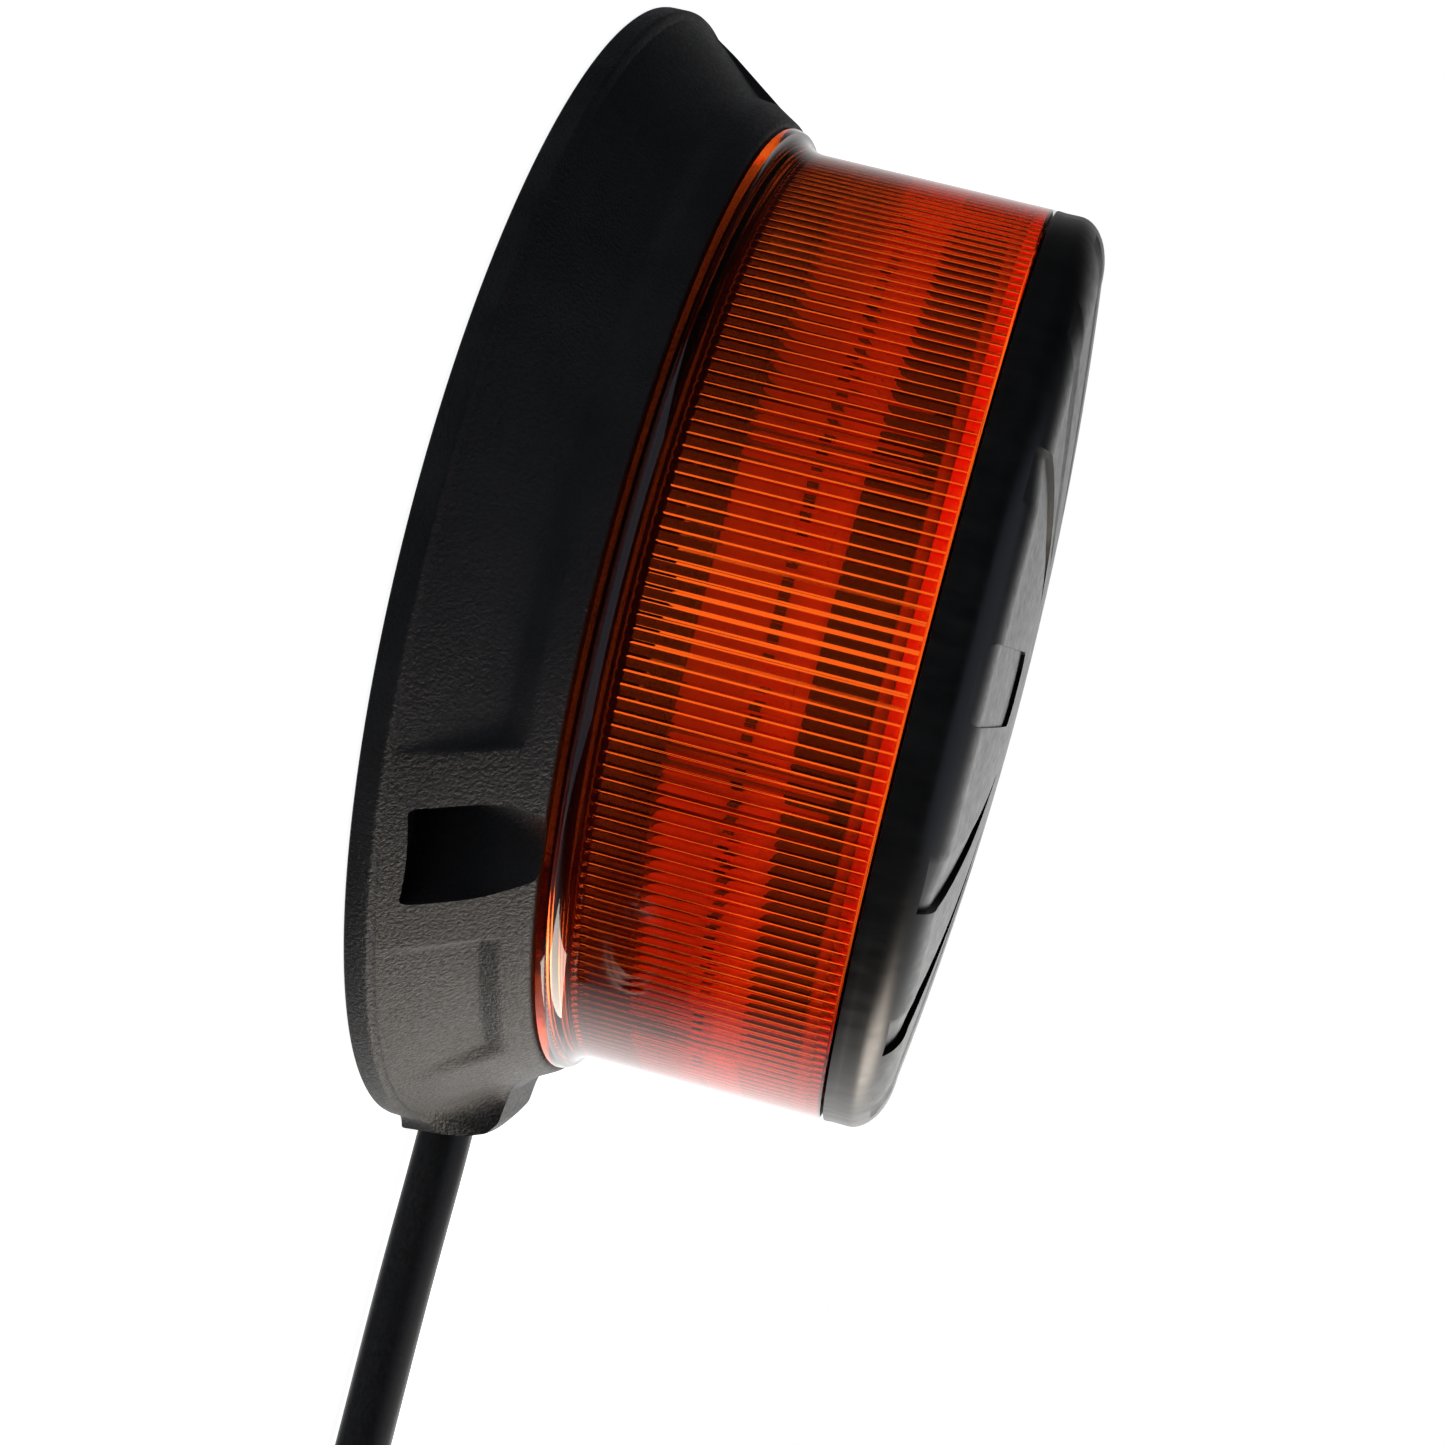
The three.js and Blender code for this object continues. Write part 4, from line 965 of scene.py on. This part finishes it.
# ------------------------------------------------------------------ lens
class BEACON_OT_lens(bpy.types.Operator):
    """Turns the amber lens and raises its inner flutes with Geometry Nodes."""
    bl_idname = "beacon.lens"
    bl_label = "Fluted lens"

    POINTS_PER_RIB = 6
    FLUTE_FOOT = 20.2        # level where the flutes start to rise

    def execute(self, context):
        size, colours = context.scene.beacon_sizes, context.scene.beacon_colours
        outer, wall = size.lens_radius / MM, size.lens_wall / MM
        bore = outer - wall
        # hollow curve from the foot flange up to the wall
        curve = [(outer + 2.0 * (1 - math.sin(t)), LENS_FOOT + 1 + 3.4 * (1 - math.cos(t)))
                 for t in np.linspace(0, math.pi / 2, 9)]
        outside = eased([(outer - 0.7, LENS_TONGUE), (outer - 0.7, LENS_FOOT), (outer + 2.4, LENS_FOOT),
                         curve[0]], 0.3, 2, False) + curve[1:]
        # a rim stands up from the roof inside the cap
        rim_top = CAP_JOINT + 1.8
        top = eased([(outer - 0.4, CAP_JOINT), (55.0, CAP_JOINT), (55.0, rim_top), (52.6, rim_top),
                     (52.6, CAP_JOINT), (30, CAP_JOINT)], 0.15, 1, False)
        # a thin groove carries the flutes up past the underside of the roof
        groove = CAP_JOINT - 0.4
        inside = [(50, LENS_UNDERSIDE), (bore - 0.9, LENS_UNDERSIDE), (bore - 0.9, groove), (bore, groove)]
        # levels up the bore, close together where the flutes run out
        inside += [(bore, z) for z in (groove - 0.02, LENS_UNDERSIDE, 44.0, 38.0, 32.0, 26.0, 22.4, 21.4,
                                       21.1, 20.8, 20.5, 20.2, 19.9, 17.5)]
        inside += [(bore, LENS_TONGUE + 0.2), (bore + 0.2, LENS_TONGUE)]
        profile = [(0, LENS_UNDERSIDE)] + inside + outside + top + [(0, CAP_JOINT)]
        segments = size.flutes * self.POINTS_PER_RIB
        blank = turned("fluted_lens", profile, None, segments, closed=False, sharp=25)
        lens = grown("fluted_lens", inner_flutes(), {
            "Ribs": size.flutes, "Depth": size.flute_depth, "Bore Radius": bore * MM,
            "Low End": self.FLUTE_FOOT * MM, "High End": (groove - 0.01) * MM, "Run-out": 0.9 * MM,
            "Material": amber_polycarbonate(colours),
        }, start=blank, sharp=25)
        place(lens, "lens_plastic", "lens")
        seal = turned("seal_ring", eased([(55.0, 13.9), (57.3, 13.9), (57.3, 14.9), (55.0, 14.9)], 0.35, 3),
                      moulded_rubber("Brick-red silicone rubber", "#7A2C1B", "#93402C"), 240)
        place(seal, "seal_rubber", "lens_seal")
        return {"FINISHED"}


# ------------------------------------------------------------------ cap
class BEACON_OT_cap(bpy.types.Operator):
    """Turns the domed cap and sinks its ring of hollows: four bars with three curved blades between them."""
    bl_idname = "beacon.cap"
    bl_label = "Domed cap"

    SIDE, EDGE, SHOULDER_WIDTH, SHOULDER_HEIGHT, DOME_RISE = 57.5, 50.5, 7.0, 4.3, 3.1
    SHOULDER_FOOT = CAP_JOINT + 3.2

    def surface(self, r):
        """Height of the cap's outer face at a radius."""
        if r >= self.EDGE:
            share = min((r - self.EDGE) / self.SHOULDER_WIDTH, 1.0)
            return self.SHOULDER_FOOT + self.SHOULDER_HEIGHT * math.sqrt(1 - share ** 2)
        return self.SHOULDER_FOOT + self.SHOULDER_HEIGHT + self.DOME_RISE * (1 - (r / self.EDGE) ** 2)

    def body(self):
        low, wall = CAP_JOINT + 0.3, 55.3
        inside = [(0, 55.6), (49.3, 54.2), (wall, 52.2)]
        foot = [(wall, low + 0.6), (wall, low), (self.SIDE + 0.1, low), (self.SIDE, low + 1.2)]
        foot = eased(foot, 0.22, 2, False)
        side = [(self.SIDE, z) for z in (low + 1.6, self.SHOULDER_FOOT - 0.6)]
        shoulder = [(self.EDGE + self.SHOULDER_WIDTH * math.cos(t),
                     self.SHOULDER_FOOT + self.SHOULDER_HEIGHT * math.sin(t))
                    for t in np.linspace(0, math.pi / 2, 15)]
        dome = [(r, self.surface(r)) for r in np.linspace(self.EDGE, 0, 14)[1:]]
        return turned("domed_cap", inside + foot + side + shoulder + dome, None, 288, closed=False, sharp=25)

    def sunk(self, name, near_edge, far_edge, ends, deepest, depth_at):
        """A cutter between two edges, each a function of 0 to 1; its floor follows depth_at(u, v)."""
        us, vs = np.linspace(0, 1, 9), np.linspace(0, 1, ends)
        floor, lid = [], []
        for v in vs:
            a, b = Vector(near_edge(v)), Vector(far_edge(v))
            line = [a.lerp(b, u) for u in us]
            floor.append([(p.x, p.y, self.surface(p.length) - deepest * depth_at(u, v))
                          for u, p in zip(us, line)])
            lid.append([(p.x, p.y, 64.0) for p in line])
        grid = np.array([f + l[::-1] for f, l in zip(floor, lid)])
        points, faces = skin(grid, False, True)
        count, last = grid.shape[1], (ends - 1) * grid.shape[1]
        faces += [tuple(range(count)), tuple(range(last + count - 1, last - 1, -1))]
        return made(name, points, faces)

    def bar(self, deepest):
        """A shallow sunk bar with rounded outer corners, a little deeper towards its inner end."""
        inner, outer, half, corner = 25.0, 56.3, 4.3, 2.2

        def edge(side):
            def at(v):
                along = outer - (outer - inner) * v
                bend = 1 - min((outer - along) / corner, (along - inner) / corner, 1.0)
                return (along, side * (half - corner + corner * math.sqrt(1 - bend ** 2)))
            return at
        return self.sunk("bar", edge(-1), edge(1), 30, deepest, lambda u, v: 0.3 + 0.3 * v)

    def blade(self, mirror, deepest):
        """A sunk blade: open at the shoulder, with a curved wall on one side and a soft edge on the other."""
        wall = [(56.3, 3.6), (50.5, 6.2), (44.5, 7.9), (38.5, 9.2), (32.5, 10.2), (27.0, 8.6), (22.5, 5.2)]
        soft = [(56.3, -3.2), (50.5, -1.6), (44.5, 0.6), (38.5, 2.6), (32.5, 4.0), (27.0, 4.6), (22.5, 4.4)]

        def edge(line):
            curve = smooth_path([(r, a * mirror, 0) for r, a in line], 0.5)

            def at(v):
                k = v * (len(curve) - 1)
                i = min(int(k), len(curve) - 2)
                r, degrees, _ = curve[i] + (curve[i + 1] - curve[i]) * (k - i)
                return (r * math.cos(math.radians(degrees)), r * math.sin(math.radians(degrees)))
            return at
        return self.sunk("blade", edge(soft), edge(wall), 26, deepest,
                         lambda u, v: -0.04 + 1.04 * u ** 0.8 * (1 - 0.35 * v))

    def execute(self, context):
        size, colours = context.scene.beacon_sizes, context.scene.beacon_colours
        deepest = size.relief_depth / MM
        cap = self.body()
        combine(cap, ringed("bars", self.bar(deepest), 4, 183, None), "DIFFERENCE", 25)
        for k, (first, mirror) in enumerate(((205.0, 1), (227.5, 1), (160.5, -1))):
            combine(cap, ringed(f"blades_{k}", self.blade(mirror, deepest), 4, first, None), "DIFFERENCE", 25)
        cap.data.materials.clear()
        cap.data.materials.append(polished_cap_pc(colours))
        place(cap, "cap_plastic", "top_cap")
        return {"FINISHED"}


# ------------------------------------------------------------------ LEDs and their carrier
class BEACON_OT_light_engine(bpy.types.Operator):
    """Sets the LED boards, packages and resistors round the heat sink and turns the reflector over them."""
    bl_idname = "beacon.light_engine"
    bl_label = "LED boards and reflector"

    FACE = 42.9              # outside of each board

    @staticmethod
    def chip(across, level, width, height, foot, rise, ease=0.25):
        """A small rounded block on a board's outside, drawn for the board that faces +X."""
        left, right = across - width / 2, across + width / 2
        low, high = level - height / 2, level + height / 2
        points, faces = prism(eased([(left, low), (right, low), (right, high), (left, high)], ease, 2), 0, 1)
        return [(foot if z == 0 else foot + rise, x, y) for x, y, z in points], faces

    def execute(self, context):
        middle = (BOARD_LOW + BOARD_HIGH) / 2
        white = white_solder_mask()
        board = gathered("board", [self.chip(0, middle, 31, 19, 41.3, 1.6, 1.0)])
        boards = ringed("led_boards", board, 8, 0, white)
        place(boards, "led_board", *[f"led_board_{i + 1}" for i in range(8)])
        spots = [-7.75, 7.75]
        package = gathered("package", [self.chip(a, middle, 5, 5, self.FACE + 0.05, 1.1, 0.4) for a in spots])
        packages = ringed("led_packages", package, 8, 0,
                          moulded_plastic("White LED package", "#D9D6CC", "#EFEDE6", 0.35, 0.5))
        place(packages, "led", *[f"led_{i + 1}_{j + 1}" for i in range(8) for j in range(2)])
        glow = gathered("glow", [self.chip(a, middle, 3.8, 3.8, self.FACE + 0.9, 0.6, 1.2) for a in spots])
        place(ringed("led_phosphor", glow, 8, 0, yellow_phosphor()), "led")
        small = [self.chip(a * side, 33.6, 2.0, 1.2, self.FACE, 0.6, 0.1)
                 for side, row in ((-1, (13.5, 11.2, 3.4, 1.1)), (1, (1.1, 3.4, 11.2, 13.5))) for a in row]
        resistors = ringed("board_resistors", gathered("resistor", small), 8, 0,
                           moulded_plastic("Black chip resistor", "#101012", "#1B1B1E", 0.4, 0.6, 0.4))
        place(resistors, "led")
        # painted shade: black plates over the top of each board stand in for the dark band of shade under the
        # reflector
        plate = gathered("plate", [self.chip(0, 42.4, 30.5, 6.8, self.FACE + 0.3, 1.6, 0.6)])
        shade_plates = ringed("board_clamps", plate, 8, 0,
                        moulded_plastic("Black nylon clamp", "#0B0B0C", "#151517"))
        place(shade_plates, "component")
        inner, outer = 20, 49
        ring = eased([(inner, REFLECTOR_LOW), (outer, REFLECTOR_LOW), (outer, REFLECTOR_HIGH),
                      (inner, REFLECTOR_HIGH)], 0.3, 3)
        reflector = turned("reflector_plate", ring, metallised_reflector(), 240)
        place(reflector, "reflector", "top_reflector")
        return {"FINISHED"}


# ------------------------------------------------------------------ screws
class BEACON_OT_screws(bpy.types.Operator):
    """Copies pan-head screws into the cover, the driver board and the LED carrier."""
    bl_idname = "beacon.screws"
    bl_label = "Screws"

    def screw(self, at, seat, tip):
        """A pan-head screw with a hexagon socket; its head bears on seat and its shank ends at tip."""
        way = 1 if seat > tip else -1
        head = [(0, 1.4), (1.9, 1.4), (2.5, 1.05), (2.8, 0.5), (2.8, 0.0), (1.25, 0.0)]
        length = abs(seat - tip)
        shank = [(1.25, -length + 0.6), (0.9, -length), (0, -length)]
        ridges = []
        for k in range(int((length - 1.6) / 0.5)):
            ridges += [(1.25, -0.6 - 0.5 * k), (1.02, -0.85 - 0.5 * k)]
        body = turned("screw", head + ridges + shank, None, 28, closed=False, sharp=40)
        socket = made("socket", *prism(arc(0, 0, 1.2, 0, 300, 5), 0.6, 2.2))
        combine(body, socket, "DIFFERENCE", 40)
        body.data.transform(Matrix.Translation((at * MM, 0, seat * MM)) @ Matrix.Diagonal((1, way, way, 1)))
        return body

    def execute(self, context):
        steel = bare_metal("Zinc-plated steel", "#9C9EA2", "#C6C8CB", 0.25, 0.42, lump_mm=0.8)
        sets = {
            "cover_screws": (COVER_POSTS, 1.9, 9.5, 4, 45, "cover_screw"),
            "board_screws": (DRIVER_POSTS, DRIVER_TOP + 0.3, 11.7, 3, 90, "board_screw"),
            "carrier_screws": (CARRIER_POSTS, CARRIER_TOP + 0.3, 14.6, 4, 45, "carrier_screw"),
        }
        for name, (at, seat, tip, count, first, node) in sets.items():
            screws = ringed(name, self.screw(at, seat, tip), count, first, steel, sharp=40)
            place(screws, "screw_steel", *[f"{node}_{k + 1}" for k in range(count)])
        return {"FINISHED"}


# ------------------------------------------------------------------ pieces whose CAD shape is kept
class BEACON_OT_kept_parts(bpy.types.Operator):
    """Gives the pieces that keep their CAD shape their real finishes."""
    bl_idname = "beacon.kept_parts"
    bl_label = "Cover, driver board and wiring"

    def execute(self, context):
        black = moulded_plastic("Moulded black ABS", "#131416", "#1C1D20", 0.45, 0.62, 0.8)
        finishes = {
            "bottom_cover": black, "breather_vent": black, "led_carrier": black,
            "cable_grommet": moulded_rubber("Black grommet rubber", "#111214", "#1B1C1F"),
            "heat_sink": bare_metal("Extruded aluminium", "#8F9296", "#B9BCC0", 0.3, 0.5, (1, 1, 0.05), 0.4),
            "driver_board": green_solder_mask(),
            "terminal_block": moulded_plastic("Green terminal plastic", "#1E5A36", "#2F7A4C"),
            "inductor": moulded_rubber("Ferrite", "#232426", "#34353A", 0.3),
            "capacitor": moulded_plastic("Blue capacitor sleeve", "#16223E", "#22345C", 0.25, 0.4),
            "driver_chip": moulded_plastic("Black epoxy", "#111113", "#1D1D20", 0.5, 0.7, 0.3),
            "lead_red": core_insulation("Red lead PVC", "#8E1512", "#B3201C"),
            "lead_black": core_insulation("Black lead PVC", "#121214", "#1E1E21"),
            "lead_yellow": core_insulation("Yellow lead PVC", "#B9930F", "#D9B521"),
        }
        for node, material in finishes.items():
            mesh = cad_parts[node].data
            mesh.materials.clear()
            mesh.materials.append(material)
        return {"FINISHED"}


# ------------------------------------------------------------------ panel, registration and run
OPERATORS = (BEACON_OT_camera, BEACON_OT_cable, BEACON_OT_housing, BEACON_OT_lens, BEACON_OT_cap,
             BEACON_OT_light_engine, BEACON_OT_screws, BEACON_OT_kept_parts, BEACON_OT_stage)


class BEACON_PT_panel(bpy.types.Panel):
    """Lists the beacon's settings and the steps that build it."""
    bl_idname = "BEACON_PT_panel"
    bl_label = "Warning beacon"
    bl_space_type = "VIEW_3D"
    bl_region_type = "UI"
    bl_category = "Beacon"

    def draw(self, context):
        for group in SETTINGS:
            box, settings = self.layout.box(), getattr(context.scene, group)
            for name in settings.__annotations__:
                box.prop(settings, name)
        for operator in OPERATORS:
            self.layout.operator(operator.bl_idname)


SETTINGS = {"beacon_sizes": BeaconSizes, "beacon_colours": BeaconColours, "beacon_stage": StageSettings}


def register():
    for item in (*SETTINGS.values(), *OPERATORS, BEACON_PT_panel):
        bpy.utils.register_class(item)
    for name, group in SETTINGS.items():
        setattr(bpy.types.Scene, name, bpy.props.PointerProperty(type=group))


def unregister():
    for name in SETTINGS:
        delattr(bpy.types.Scene, name)
    for item in reversed((*SETTINGS.values(), *OPERATORS, BEACON_PT_panel)):
        bpy.utils.unregister_class(item)


def main():
    register()
    bpy.context.scene.view_settings.view_transform = "Standard"
    for operator in OPERATORS:
        group, name = operator.bl_idname.split(".")
        getattr(getattr(bpy.ops, group), name)()


if __name__ == "__main__":
    main()
